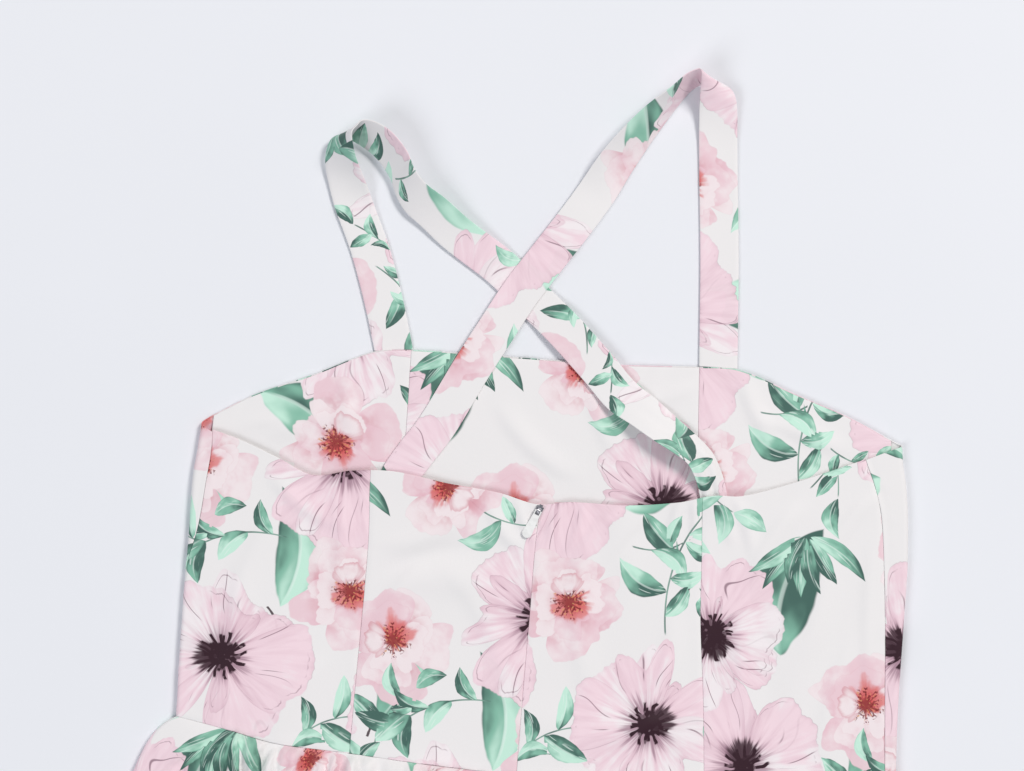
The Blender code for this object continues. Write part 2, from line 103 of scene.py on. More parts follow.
# Distances between the points of a grid: on open cloth, in a fold, and next to a sewn edge
PITCH = 2.3
FOLD_PITCH = 0.9
STRAP_PITCH = 1.7
SKIRT_ACROSS = 1.65
SKIRT_FLAT_WIDTH = 430
CALM_AT_SIDES = 12
SKIRT_NEAR = 2.0
SKIRT_NEAR_DEPTH = 44
SKIRT_FAR = 5.0
EDGE_PLACES = (0, 0.8, 1.7, 2.8, 4.2)

# The bodice at each height above the waist: its folded edges, the seams across it, and how far each
# side seam lies from the folded edge along the cloth, positive on the back and negative underneath
Section = namedtuple(
    "Section",
    "height left_edge left_seam back_left zip back_right right_seam right_edge front_left front_right",
)
BODICE = listed(
    Section,
    (-12, -224, -3, -116, -11, 107, 7.5, 226, -112, 106),
    (50, -224.5, -3, -114, -9.5, 103, 9.5, 224.5, -106, 102),
    (100, -224, -2, -112, -8, 98.5, 12.5, 225, -100, 98),
    (140, -223, 6.5, -111, -7, 97, 16, 225.5, -96, 95),
    (172, -222.5, 10, -112, -5, 95.5, 18, 224, -93, 93),
    (190, -220.5, 10, -112, -4.5, 95, 21, 222, -92, 92),
    (210, -218.5, 8, -112, -4, 95, 25, 218.5, -91.5, 91),
    (262, -216, 8, -112, -4, 95, 26, 215, -91, 89),
)

# Edges that run across: place along the cloth, then height above the waist at the centre back
Edge = namedtuple("Edge", "place height")
WAIST = listed(
    Edge,
    (-230, 23.5), (-200, 17.5), (-162, 9), (-118, 5.5), (-60, 0.5),
    (0, -2.5), (110, -3), (232, 5),
)
BACK_TOP = listed(
    Edge,
    (-216, 203.5), (-193, 196.5), (-170, 187), (-148, 177.5), (-124, 181.5),
    (-97, 182.5), (-64, 177), (-32, 173), (-7, 167), (13, 169.5),
    (49, 169.5), (80, 173), (102, 178.5), (121, 179.5), (155, 190.5),
    (187, 203), (200, 208),
)
FRONT_TOP = listed(
    Edge,
    (-234, 199), (-227.8, 201.5), (-221, 205.5), (-212, 211.5), (-188, 225),
    (-150, 240.5), (-114, 256.5), (-90, 258.7), (-20, 257.7), (40, 256.8),
    (90, 258.2), (114, 257.6), (150, 244.5), (184, 232), (214, 218),
    (222, 215), (244.8, 206), (252, 203),
)

# Rises of the laid back: over the two strap ends, at the zip and in its soft folds
Rise = namedtuple("Rise", "x y height wide long")
RISES = listed(
    Rise,
    (103, 182, 3.0, 22, 17),
    (-95, 182, 0.8, 22, 14),
    (-60, 118, 1.6, 42, 11),
    (48, 142, 1.5, 13, 30),
    (160, 70, 1.5, 16, 52),
    (-165, 60, 1.5, 20, 45),
    (40, 30, 1.5, 55, 12),
)

# The straps: the middle of the band, the plan heading of its width, how steeply that width stands,
# its height, and the share of its width that isn't pleated away
Station = namedtuple("Station", "x y heading pitch z wide", defaults=(1,))
Numbered = namedtuple("Numbered", ("number",) + Station._fields)
LEFT_STRAP = listed(
    Station,
    (-110, 288, 15, 0, 0.8),
    (-120, 319, 15, 0, 0.8),
    (-131, 345, 14, 2, 1.7),
    (-137, 361, 11, 17, 5),
    (-141, 373, 8, 32, 9.5),
    (-142, 382, 10, 44, 13.5),
    (-141, 389, 12, 55, 15),
    (-137, 392, 26, 62, 13.5),
    (-132, 393, 58, 56, 12.4),
    (-123, 390, 72, 44, 11.4),
    (-114, 384, 65, 38, 11),
    (-105, 373, 60, 35, 10.2),
    (-100, 362, 58, 33, 9.6),
    (-93, 353, 54, 27, 8.2),
    (-82, 345, 50, 18, 5.6),
    (-66, 332, 49, 10, 3),
    (-38, 313, 51, 0, 0.8),
    (-14, 292, 48, 0, 0.8),
    (4, 276, 46, 0, 3),
    (26, 254, 45, 0, 3.9),
    (41, 238, 47, -6, 5.3),
    (56, 228, 45, -14, 7.3, 0.97),
    (70, 218, 40, -22, 9, 0.93),
    (82, 210, 33, -26, 9.2, 0.88),
    (92, 202, 24, -26, 8.4, 0.82),
    (98, 192, 14, -18, 6.6, 0.76),
    (102, 180, 6, -5, 4.25, 0.72),
    (103, 168, 3, 0, 3.75, 0.72),
)
RIGHT_STRAP = listed(
    Station,
    (100, 282, 3, 0, 0.8),
    (98, 326, 3, 0, 0.8),
    (95, 370, 3, 0, 0.8),
    (93, 400, 1, 0, 1.5),
    (92, 417, -2, -4, 4.4),
    (91, 427, -6, -16, 8.5),
    (89, 434, -10, -35, 11.5),
    (85, 438, -22, -57, 12.5),
    (79, 438, -54, -68, 12.2),
    (72, 434, -60, -67, 12),
    (63, 424, -60, -61, 11.5),
    (52, 412, -48, -48, 9.8),
    (41, 398, -38, -36, 8),
    (30, 382, -32, -20, 5),
    (19, 363, -32, -4, 2.4),
    (6, 343, -34, 0, 2.4),
    (-10, 320, -35, 0, 2.7),
    (-25, 298, -33, 0, 2.8),
    (-40, 272, -30, 0, 3.3),
    (-54, 247, -29, 0, 3.7),
    (-72, 213, -29, 0, 3.7),
    (-85, 194, -29, 0, 3.8),
    (-93, 181, -20, 0, 3.8),
    (-97, 169, -16, 0, 3.65),
)
STRAP_FOOT_LEFT = -102
STRAP_FOOT_RIGHT = 101

# The skirt: gathered at the waist, flared in rays from it, and wrapped a little round each side
SKIRT_LENGTH = 560
FLARE = math.radians(19)
SHOULDER = 13
SHOULDER_DROP = 8
TUCK_UNDER = 12.4
TUCK_OVER = 3.9

# How wide the print runs across half of the skirt, at the waist and for each step down, and how much
# more of it goes round a side
PRINT_AT_WAIST = 320
PRINT_FLARE = 0.25
PRINT_ROUND_SIDE = 6

Row = namedtuple("Row", "down level gather fold front")
SKIRT = listed(
    Row,
    (0, BACK_LEVEL, 0, 0, 0),
    (8, BACK_LEVEL, 3.2, 0.5, 1.6),
    (24, BACK_LEVEL, 5.0, 1.5, 2.6),
    (60, BACK_LEVEL, 4.4, 3.2, 2.2),
    (120, 4.9, 3.2, 4.5, 1.2),
    (220, 3.2, 1.8, 5.5, 0),
    (330, 2.6, 1.0, 6.2, 0),
    (450, 2.6, 0.6, 6.6, 0),
    (SKIRT_LENGTH, 2.6, 0.4, 7.0, 0),
)

# Creases of the laid cloth: the middle, the heading, how long and wide, how high (a trough is
# negative), and how far the middle bows to the side
Crease = namedtuple("Crease", "x y heading long wide height bow", defaults=(0,))
BACK_CREASES = listed(
    Crease,
    (6, 158, 62, 13, 3.2, 1.3, 2),
    (17, 155, 74, 17, 3.0, 1.0, -2),
    (-14, 157, 115, 14, 3.4, 1.1, 2),
    (-27, 152, 128, 18, 4.2, 0.9, 3),
    (33, 150, 52, 24, 5.5, 1.2, 4),
    (48, 132, 58, 32, 6.5, -0.9, 5),
    (80, 160, 80, 16, 3.4, 1.0, 2),
    (90, 162, 94, 13, 2.6, 0.9, -1),
    (111, 164, 102, 14, 2.8, 1.0, 1),
    (121, 161, 112, 18, 3.6, 0.9, -2),
    (-72, 150, 28, 30, 6.0, 1.3, -4),
    (-66, 128, 15, 38, 7.5, -0.9, 5),
    (-92, 96, 64, 34, 6.5, 0.9, 5),
    (-38, 84, 118, 42, 8.0, 0.8, -6),
    (-150, 160, 148, 26, 5.5, 1.1, 4),
    (-132, 140, 95, 30, 6.0, 0.9, -4),
    (-178, 120, 72, 44, 8.5, 1.0, 6),
    (-196, 70, 84, 46, 7.0, 0.9, -4),
    (-150, 38, 60, 30, 6.0, 0.9, 4),
    (28, 88, 98, 46, 8.0, 0.8, 5),
    (72, 62, 76, 38, 7.0, 0.9, -5),
    (46, 24, 20, 40, 7.0, 0.9, 4),
    (142, 150, 62, 28, 6.0, 1.1, 4),
    (168, 122, 84, 40, 7.0, 0.9, -5),
    (190, 168, 55, 20, 5.0, 1.0, 2),
    (132, 66, 100, 46, 8.0, 0.9, 5),
    (186, 54, 78, 40, 7.0, 0.9, 4),
    (204, 108, 92, 44, 5.0, 0.8, 2),
)
FRONT_CREASES = listed(
    Crease,
    (-40, 120, 22, 46, 8.0, 1.0, 5),
    (52, 92, 140, 50, 9.0, 1.1, -6),
    (-150, 96, 70, 44, 7.5, 0.9, 5),
    (150, 60, 110, 48, 8.0, 1.0, -5),
    (-84, 40, 60, 36, 7.0, 1.1, 4),
    (10, 46, 12, 44, 8.0, 0.9, 4),
    (98, 128, 64, 34, 6.5, 0.9, -4),
    (-188, 48, 82, 38, 6.0, 0.8, 3),
    (190, 120, 86, 40, 6.0, 0.8, -3),
)
FACING_CREASES = listed(
    Crease,
    (-150, 208, 22, 34, 6.5, 1.0, 4),
    (-128, 222, 100, 18, 5.0, 0.8, 2),
    (-60, 228, 62, 26, 6.0, 0.9, -3),
    (-10, 205, 140, 30, 6.5, 1.0, 4),
    (30, 222, 112, 22, 5.5, 0.8, 2),
    (66, 240, 20, 20, 5.0, 0.9, -2),
    (128, 232, 120, 24, 5.5, 1.0, 3),
    (160, 214, 158, 34, 6.0, 0.9, -4),
    (-184, 206, 20, 22, 4.5, 0.7, 2),
)
STRAP_RIPPLE = 0.6
CREASE_SCALE = 1.6

# The skirt's gathers: how close they start, and the shares of their height that are chance
GATHER_PITCH = 9.5
GATHER_CHANCE = 0.55
GATHER_REACH = 70
GATHERS_IN_PLEAT = 0.35
LOWEST_LIFT = -0.2
HIGHEST_LIFT = 12
FOLD_PITCH_AT_WAIST = 38

# The deep pleat at the left of the waist, laid over its neighbours: its edges' points in plan
PLEAT_LEFT = ((-191, 14), (-215, -8))
PLEAT_RIGHT = ((-168, 10.5), (-173.5, -5))
PLEAT_HEIGHT = 6.0
PLEAT_HOLLOW = 2.6
PLEAT_HOLLOW_PLACE = 2.5
PLEAT_HOLLOW_WIDTH = 2.2
PLEAT_EDGE = 2.2
PLEAT_REACH = 150
SKIRT_CREASES = listed(
    Crease,
    (-190, -6, 60, 20, 2.4, -3.4, 2),
    (-186, -8, 78, 20, 2.2, 2.4, -1),
    (-181, -8, 92, 20, 2.4, -3.2, 1),
    (-176, -6, 108, 17, 2.2, 2.2, -1),
    (-171, -4, 104, 15, 2.4, -2.6, 1),
    (-198, 2, 40, 14, 2.6, -1.6, 2),
    (-206, -22, 60, 26, 3.6, 1.6, 4),
    (-222, -4, 52, 16, 2.6, 1.4, 2),
    (-160, -3, 86, 18, 2.6, -2.6, 1),
    (-152, -5, 84, 20, 3.0, 1.9, -1),
    (-143, -6, 90, 20, 2.6, -2.5, 1),
    (-131, -8, 84, 22, 2.8, -2.4, -1),
    (-120, -8, 88, 24, 3.0, -2.3, 1),
    (-108, -9, 92, 22, 2.6, -2.1, 1),
    (-97, -9, 86, 24, 2.8, -1.9, -1),
)

# The leading folds of the skirt's back, by place along the waist: width, height, lean and how far down
Pleat = namedtuple("Pleat", "place wide height lean reach")
PLEATS = listed(
    Pleat,
    (-52, 12, 4.5, -1.5, 210),
    (36, 13, 4.5, 1.6, 260),
    (124, 12, 5.0, 1.8, 230),
    (196, 10, 4.0, -1.4, 200),
)

# The zip's chain and the stitching of the hem
CHAIN_TOP = 158.0
CHAIN_BOTTOM = 4.0
TOOTH_PITCH = 1.5
TOOTH_REACH = 1.1
TOOTH_THICK = 0.45
HEM_DEPTH = 14
STITCH_PITCH = 3.1
STITCH_LENGTH = 2.1
STITCH_THICK = 0.28
RING = np.radians(np.arange(0, 360, 60))

# The print's repeat, with its flowers, large leaves and sprays, and where each piece is cut from it
TILE = (330.0, 300.0)
Flower = namedtuple("Flower", "x y radius turn")
ANEMONES = listed(
    Flower,
    (60, 62, 55, 10),
    (190, 40, 52, 70),
    (122, 192, 56, 130),
    (262, 220, 50, 290),
)
LOW_ANEMONES = listed(
    Flower,
    (284, 138, 55, 200),
)
PEONIES = listed(
    Flower,
    (134, 112, 38, 20),
    (30, 178, 38, 100),
    (180, 268, 40, 330),
    (64, 274, 36, 240),
)
BigLeaf = namedtuple("BigLeaf", "x y heading length width bow tone")
BIG_LEAVES = listed(
    BigLeaf,
    (236, 52, 62, 82, 38, 0.14, 0.75),
    (92, 96, 96, 76, 30, -0.16, 0.35),
    (306, 208, 72, 84, 42, 0.14, 0.96),
    (20, 128, 78, 58, 28, -0.2, 0.3),
    (206, 206, 196, 74, 34, 0.12, 0.6),
    (132, 300, 320, 70, 34, 0.14, 0.85),
)
Spray = namedtuple("Spray", "x y heading length bow leaves size")
SPRAYS = listed(
    Spray,
    (196, 96, 74, 92, 0.12, 7, 30),
    (-8, 12, 78, 78, -0.16, 6, 28),
    (240, 296, 250, 66, 0.14, 8, 16),
    (92, 140, 200, 74, -0.14, 6, 29),
    (300, 76, 300, 80, 0.16, 6, 28),
    (120, 250, 150, 60, 0.16, 5, 26),
    (222, 262, 78, 70, -0.16, 6, 28),
    (318, 18, 110, 60, 0.14, 8, 15),
    (214, 128, 350, 40, -0.16, 5, 17),
    (18, 106, 58, 50, 0.14, 5, 26),
    (106, 0, 40, 54, 0.16, 5, 27),
    (170, 150, 20, 46, -0.16, 4, 29),
    (250, 40, 300, 50, -0.16, 4, 27),
)
# Tufts of narrow leaves that spread from one point
Tuft = namedtuple("Tuft", "x y headings length width")
TUFTS = listed(
    Tuft,
    (321, 284, (214, 232, 250, 266, 284, 302, 322), 38, 11),
)
Dash = namedtuple("Dash", "x y heading length width bow")
DASHES = listed(
    Dash,
    (84, 96, 300, 17, 2.1, 0.10),
    (212, 134, 250, 19, 2.2, -0.08),
    (262, 12, 40, 12, 1.8, 0.10),
    (134, 190, 80, 15, 2.0, 0.12),
    (232, 222, 118, 14, 1.9, -0.10),
    (34, 136, 210, 9, 1.8, 0.10),
    (14, 118, 70, 7, 2.4, 0.0),
)
Cut = namedtuple("Cut", "right up turn")
CUTS = {
    "back_side_left": Cut(262, 14, 4),
    "back_centre_left": Cut(118, 96, -3),
    "back_centre_right": Cut(122, 4, 2),
    "back_side_right": Cut(154, 132, -2),
    "front_side_left": Cut(40, 210, 3),
    "front_centre": Cut(12, 60, -2),
    "front_side_right": Cut(230, 96, 2),
    "facing_left": Cut(300, 60, -4),
    "facing_centre": Cut(60, 20, 3),
    "facing_right": Cut(30, 225, -3),
    "strap_left": Cut(222, 130, 0),
    "strap_right": Cut(156, 12, 0),
    "skirt_back": Cut(259, 280, 0),
    "skirt_front": Cut(180, 70, 0),
}
# The width of a spray's stem, and the seed by which a stroke is dark instead of green
STEM_WIDTH = 1.5
DARK_STROKE = 0.95
# The share of a flower's radius that leaves keep clear of
HEART_CLEAR = 0.62
# How far a motif's own region reaches past its outline, so that no grid square cuts it off
MOTIF_MARGIN = 3.4
OUTSIDE = 9.0

# Colours, as they show on a screen
WHITE_CLOTH = (0.94, 0.93, 0.93)
BLUSH = (0.965, 0.86, 0.895)
PETAL_WHITE = (0.965, 0.935, 0.945)
PETAL_SHADE = (0.80, 0.635, 0.70)
VEIN = (0.46, 0.30, 0.38)
DARK_HEART = (0.19, 0.07, 0.125)
SOFT_HEART = (0.50, 0.34, 0.43)
PEONY_PALE = (0.96, 0.91, 0.92)
PEONY_PINK = (0.925, 0.78, 0.82)
PEONY_ROSE = (0.84, 0.56, 0.61)
CORAL = (0.83, 0.29, 0.28)
APRICOT = (0.89, 0.55, 0.55)
STAMEN = (0.47, 0.14, 0.14)
POLLEN = (0.86, 0.62, 0.42)
MINT = (0.79, 0.94, 0.87)
LEAF_GREEN = (0.53, 0.745, 0.66)
LEAF_DARK = (0.27, 0.41, 0.375)
LEAF_LIGHT = (0.90, 0.96, 0.93)
STEM_GREEN = (0.50, 0.66, 0.60)

# The set: the camera stands square over the dress, turned as in the photograph
CAMERA_PLACE = (-0.0278, 0.3003, 1.8)
CAMERA_TURN = 3.2
CAMERA_LENS = 101.25
FLOOR_SIZE = 9
FLOOR_GAP = 0.0006
FLOOR_COLOUR = (0.934, 0.941, 0.961)
WORLD_COLOUR = (0.90, 0.94, 1.0)
WORLD_STRENGTH = 0.355
Lamp = namedtuple("Lamp", "place size energy colour")
LAMPS = {
    "key": Lamp((2.9, 3.3, 4.5), 2.0, 240, (1.0, 0.965, 0.925)),
    "fill": Lamp((-3.0, -2.4, 3.8), 3.0, 92, (0.96, 0.97, 1.0)),
}
LAMPS_AIM = (0.0, 0.2, 0.0)


class Curve:
    """A smooth curve through one column of a table, by its first column."""

    def __init__(self, rows, column):
        self.places = np.array([row[0] for row in rows], float)
        self.values = np.array([getattr(row, column) for row in rows], float)

    def slope(self, k, span):
        low = np.maximum(k - 1, 0)
        high = np.minimum(k + 1, len(self.places) - 1)
        rise_over_run = (self.values[high] - self.values[low]) / (self.places[high] - self.places[low])
        return rise_over_run * span

    def __call__(self, place):
        place = np.clip(place, self.places[0], self.places[-1])
        i = np.searchsorted(self.places, place, side="right") - 1
        i = np.clip(i, 0, len(self.places) - 2)
        span = self.places[i + 1] - self.places[i]
        t = (place - self.places[i]) / span
        square, cube = t * t, t * t * t
        return (
            (2 * cube - 3 * square + 1) * self.values[i]
            + (cube - 2 * square + t) * self.slope(i, span)
            + (3 * square - 2 * cube) * self.values[i + 1]
            + (cube - square) * self.slope(i + 1, span)
        )


bodice = {column: Curve(BODICE, column) for column in Section._fields[1:]}
waist = Curve(WAIST, "height")
back_top = Curve(BACK_TOP, "height")
front_top = Curve(FRONT_TOP, "height")
skirt_row = {column: Curve(SKIRT, column) for column in Row._fields[1:]}


def smooth(share):
    """A share from 0 to 1 that leaves and reaches its ends gently."""
    return share * share * (3 - 2 * share)


def chance_wave(places, pitch, seed):
    """A smooth wave between -1 and 1 whose turns come at chance heights, a pitch apart."""
    values = np.random.RandomState(seed).uniform(-1, 1, 1024)
    steps = np.asarray(places, float) / pitch + 300
    low = np.floor(steps).astype(int)
    t = steps - low
    t = smooth(t)
    return values[low % 1024] * (1 - t) + values[(low + 1) % 1024] * t


def bump(distance, wide):
    return np.exp(-((distance / wide) ** 2))


def rise(x, y):
    """How far the laid back stands above its level."""
    return sum(r.height * bump(x - r.x, r.wide) * bump(y - r.y, r.long) for r in RISES)


def creased(creases, x, y):
    """The height of a set of creases at points of the laid cloth."""
    total = np.zeros(np.broadcast(x, y).shape)
    for crease in creases:
        turn = math.radians(crease.heading)
        along = (x - crease.x) * math.cos(turn) + (y - crease.y) * math.sin(turn)
        across = (y - crease.y) * math.cos(turn) - (x - crease.x) * math.sin(turn)
        share = along / crease.long
        across = across - crease.bow * (1 - share**2)
        steepness = np.where(across > 0, 1.35, 0.8)
        total += crease.height * bump(across * steepness, crease.wide) * np.exp(-(share**4))
    return CREASE_SCALE * total


def round_the_side(place, y, level, other_level):
    """Plan x and height of a place along the cloth, which turns round a folded edge."""
    radius = abs(other_level - level) / 2
    middle = (level + other_level) / 2
    towards = 1 if level > other_level else -1
    left = bodice["left_edge"](y) + radius
    right = bodice["right_edge"](y) - radius
    past = np.maximum(left - place, place - right)
    turn = np.maximum(past, 0) / radius
    out = np.where(turn < math.pi, radius * np.sin(turn), radius * (math.pi - turn))
    curved = middle + towards * radius * np.cos(np.minimum(turn, math.pi))
    folded = np.where(place < left, left - out, right + out)
    return np.where(past <= 0, place, folded), np.where(past <= 0, level, curved)


def side_seam(side, layer, y):
    """Place along the cloth of a side seam, seen from the back layer or from the front one."""
    radius = (BACK_LEVEL - FRONT_LEVEL) / 2
    outermost = math.pi * radius / 2 - radius
    towards = 1 if layer == "back" else -1
    inset = bodice[side + "_seam"](y) * towards
    if side == "left":
        return bodice["left_edge"](y) - outermost + inset
    return bodice["right_edge"](y) + outermost - inset


def graded(length, pitch, fine_start=True, fine_end=True):
    """Places from 0 to a length, a pitch apart, and closer next to its ends."""
    start = list(EDGE_PLACES) if fine_start else [0]
    end = [length - place for place in reversed(EDGE_PLACES)] if fine_end else [length]
    count = max(2, round((end[0] - start[-1]) / pitch))
    middle = np.linspace(start[-1], end[0], count + 1)[1:-1]
    return np.array(start + list(middle) + end)


def panel_columns(width, folded):
    """Shares of a panel's width, closest together where it turns round a folded edge."""
    if not folded:
        return graded(width, PITCH) / width
    window = LEFT_FOLD_WINDOW if folded == "left" else RIGHT_FOLD_WINDOW
    flat = graded(width - window, PITCH, fine_end=False)
    turned = np.linspace(width - window, width, round(window / FOLD_PITCH) + 1)[1:]
    shares = np.concatenate((flat, turned)) / width
    return shares if folded == "right" else 1 - shares[::-1]


def between(start, end, share, height):
    """Place at a height, a share of the way from one seam to the next."""
    return start(height) + (end(height) - start(height)) * share


def meet_edge(edge, start, end, share, height):
    """Height at which a share of the way from one seam to the next meets an edge of the cloth."""
    height = np.full(share.shape, float(height))
    for _ in range(EDGE_STEPS):
        height = edge(between(start, end, share, height))
    return height


def panel_grid(start, end, share, highest, lowest):
    """Places across and up the cloth of a grid between two seams and two edges."""
    length = float((highest - lowest).max())
    down = (graded(length, PITCH) / length)[:, None]
    y = highest + (lowest - highest) * down
    return between(start, end, share, y), y


def right_of(line):
    return lambda y: line(y) + SEWN / 2


def left_of(line):
    return lambda y: line(y) - SEWN / 2


def side(which, layer):
    return lambda y: side_seam(which, layer, y)


def unit(vectors):
    return vectors / np.maximum(np.linalg.norm(vectors, axis=2, keepdims=True), 1e-9)


def normals_of(points):
    """Unit normals of a grid of points, upward where its rows run down and its columns right."""
    return unit(np.cross(np.gradient(points, axis=0), np.gradient(points, axis=1)))


def boundary(rows, columns):
    """The grid's outer places in order round it, with the way out of the grid at each."""
    top = [(0, j, (0, -1)) for j in range(columns)]
    right = [(i, columns - 1, (1, 0)) for i in range(1, rows)]
    bottom = [(rows - 1, j, (0, 1)) for j in range(columns - 2, -1, -1)]
    left = [(i, 0, (-1, 0)) for i in range(rows - 2, 0, -1)]
    loop = top + right + bottom + left
    corners = {(0, 0): (-1, -1), (0, columns - 1): (1, -1)}
    corners[(rows - 1, columns - 1)] = (1, 1)
    corners[(rows - 1, 0)] = (-1, 1)
    return [(i, j, corners.get((i, j), way)) for i, j, way in loop]


def shell(name, points, printed, thickness):
    """A closed thin wall on a grid of middle points, with rounded edges, and its print's places."""
    rows, columns = points.shape[:2]
    thickness = np.broadcast_to(thickness, (rows, columns))
    normal = normals_of(points)
    half = thickness[..., None] / 2
    loop = boundary(rows, columns)
    at = tuple(np.array([(i, j) for i, j, _ in loop]).T)
    ways = np.array([way for *_, way in loop], float)
    down, right = (unit(np.gradient(points, axis=axis)) for axis in (0, 1))
    edge, edge_normal, edge_half = points[at], normal[at], half[at]
    out = right[at] * ways[:, :1] + down[at] * ways[:, 1:]
    inset = points.copy()
    inset[at] = edge - out * edge_half
    upper, lower = inset + normal * half, inset - normal * half
    rim = [
        edge - out * edge_half * (1 - math.cos(turn)) + edge_normal * edge_half * math.sin(turn)
        for turn in (math.radians(45), 0, math.radians(-45))
    ]
    verts = np.concatenate([upper.reshape(-1, 3), lower.reshape(-1, 3), *rim])
    edge_print = printed[at]
    flat_print = printed.reshape(-1, 2)
    prints = np.concatenate([flat_print, flat_print, edge_print, edge_print, edge_print])

    cell = np.arange((rows - 1) * (columns - 1))
    corner = cell // (columns - 1) * columns + cell % (columns - 1)
    under = rows * columns
    top_faces = np.stack((corner, corner + columns, corner + columns + 1, corner + 1), 1)
    low_faces = top_faces[:, ::-1] + under
    place = at[0] * columns + at[1]
    count = len(loop)
    rings = [place, *(2 * under + np.arange(count) + k * count for k in range(3)), place + under]
    sides = [
        np.stack((a, np.roll(a, -1), np.roll(b, -1), b), 1) for a, b in zip(rings, rings[1:])
    ]
    return make_mesh(name, verts, np.concatenate([top_faces, low_faces, *sides]), prints)


def make_mesh(name, verts, faces, prints=None):
    """A smooth mesh of four-sided faces, from millimetres in the dress's frame."""
    mesh = bpy.data.meshes.new(name)
    mesh.vertices.add(len(verts))
    mesh.vertices.foreach_set("co", ((verts + DRESS_TO_ROW) * MM).astype(np.float32).ravel())
    mesh.loops.add(faces.size)
    mesh.loops.foreach_set("vertex_index", faces.ravel().astype(np.int32))
    mesh.polygons.add(len(faces))
    mesh.polygons.foreach_set("loop_start", np.arange(0, faces.size, 4, dtype=np.int32))
    mesh.update(calc_edges=True)
    mesh.validate()
    mesh.shade_smooth()
    made = bpy.data.objects.new(name, mesh)
    bpy.context.scene.collection.objects.link(made)
    if prints is not None:
        add_charts(mesh, prints[faces])
    return made


Motif = namedtuple("Motif", "x y heading length width bow seed")


def flower_motifs(flowers, first_seed):
    return [
        Motif(f.x, f.y, f.turn, f.radius, f.radius, None, chance(first_seed + k))
        for k, f in enumerate(flowers)
    ]


def chance(seed):
    return float(np.random.RandomState(seed).uniform(0.02, 0.98))


def spray_point(spray, share):
    """A point on a spray's stem and the stem's heading there."""
    turn = math.radians(spray.heading)
    along, side_way = spray.length * share, spray.bow * spray.length * 4 * share * (1 - share)
    x = spray.x + along * math.cos(turn) - side_way * math.sin(turn)
    y = spray.y + along * math.sin(turn) + side_way * math.cos(turn)
    return x, y, spray.heading + math.degrees(math.atan(spray.bow * 4 * (1 - 2 * share)))


def spray_leaves(spray, seed):
    """The leaves of a spray, in turn on either side of its stem and one at its tip."""
    random = np.random.RandomState(seed)
    made = []
    for k in range(spray.leaves):
        last = k == spray.leaves - 1
        share = 1.0 if last else (k + 0.9) / spray.leaves + random.uniform(-0.04, 0.04)
        x, y, heading = spray_point(spray, share)
        side_way = 0 if last else (1 if k % 2 else -1)
        heading += side_way * random.uniform(38, 66) + random.uniform(-8, 8)
        length = spray.size * random.uniform(0.68, 1.25)
        width = length * random.uniform(0.36, 0.52)
        bow = random.uniform(-0.24, 0.24)
        made.append(Motif(x, y, heading, length, width, bow, random.uniform(0.02, 0.98)))
    return made


def tuft_leaves(tuft, seed):
    """Narrow leaves that start beside one point and spread from it, dark and light in turn."""
    random = np.random.RandomState(seed)
    made = []
    for k, heading in enumerate(tuft.headings):
        turn = math.radians(heading)
        off = random.uniform(1.5, 4.0)
        x, y = tuft.x + off * math.cos(turn), tuft.y + off * math.sin(turn)
        length = tuft.length * random.uniform(0.75, 1.2)
        tone = random.uniform(0.93, 0.98) if k % 3 else random.uniform(0.4, 0.6)
        made.append(Motif(x, y, heading, length, tuft.width, random.uniform(-0.1, 0.1), tone))
    return made


def clear_of_hearts(leaf):
    """Whether a leaf keeps off the middles of the flowers."""
    turn = math.radians(leaf.heading)
    x, y = leaf.x + leaf.length / 2 * math.cos(turn), leaf.y + leaf.length / 2 * math.sin(turn)
    for flower in ANEMONES + LOW_ANEMONES + PEONIES:
        away_x = (x - flower.x + TILE[0] / 2) % TILE[0] - TILE[0] / 2
        away_y = (y - flower.y + TILE[1] / 2) % TILE[1] - TILE[1] / 2
        if math.hypot(away_x, away_y) < HEART_CLEAR * flower.radius:
            return False
    return True


def all_motifs():
    """Every layer's motifs in one repeat of the print."""
    first, second = [], []
    for number, spray in enumerate(SPRAYS):
        for k, leaf in enumerate(spray_leaves(spray, 40 + number)):
            if clear_of_hearts(leaf):
                (first if k % 2 else second).append(leaf)
    for number, tuft in enumerate(TUFTS):
        for k, leaf in enumerate(tuft_leaves(tuft, 80 + number)):
            (first if k % 2 else second).append(leaf)
    stems = [Motif(*s[:4], STEM_WIDTH, s.bow, 0.3 * chance(300 + k)) for k, s in enumerate(SPRAYS)]
    stems += [Motif(*dash, DARK_STROKE) for dash in DASHES]
    return {
        "big_leaves": [Motif(*leaf) for leaf in BIG_LEAVES],
        "low_anemones": flower_motifs(LOW_ANEMONES, 140),
        "anemones": flower_motifs(ANEMONES, 100),
        "peonies": flower_motifs(PEONIES, 120),
        "stems": stems,
        "leaves": first,
        "top_leaves": second,
    }


MOTIFS = all_motifs()


def repeated(motifs):
    """The motifs that may reach into one tile of the print, copied from the tiles round it."""
    copies = []
    for motif in motifs:
        reach = motif.length + MOTIF_MARGIN
        for column in (-1, 0, 1):
            for row in (-1, 0, 1):
                x, y = motif.x + column * TILE[0], motif.y + row * TILE[1]
                if -reach < x < TILE[0] + reach and -reach < y < TILE[1] + reach:
                    copies.append(motif._replace(x=x, y=y))
    return copies


def motif_place(motif, x, y):
    """Places in a motif's own drawing: a flower's from its middle, a leaf's along and across it."""
    turn = math.radians(motif.heading)
    along = ((x - motif.x) * math.cos(turn) + (y - motif.y) * math.sin(turn)) / motif.length
    across = (y - motif.y) * math.cos(turn) - (x - motif.x) * math.sin(turn)
    if motif.bow is None:
        return along, across / motif.length
    across = across - motif.bow * motif.length * 4 * along * (1 - along)
    return along, across / (motif.width / 2)


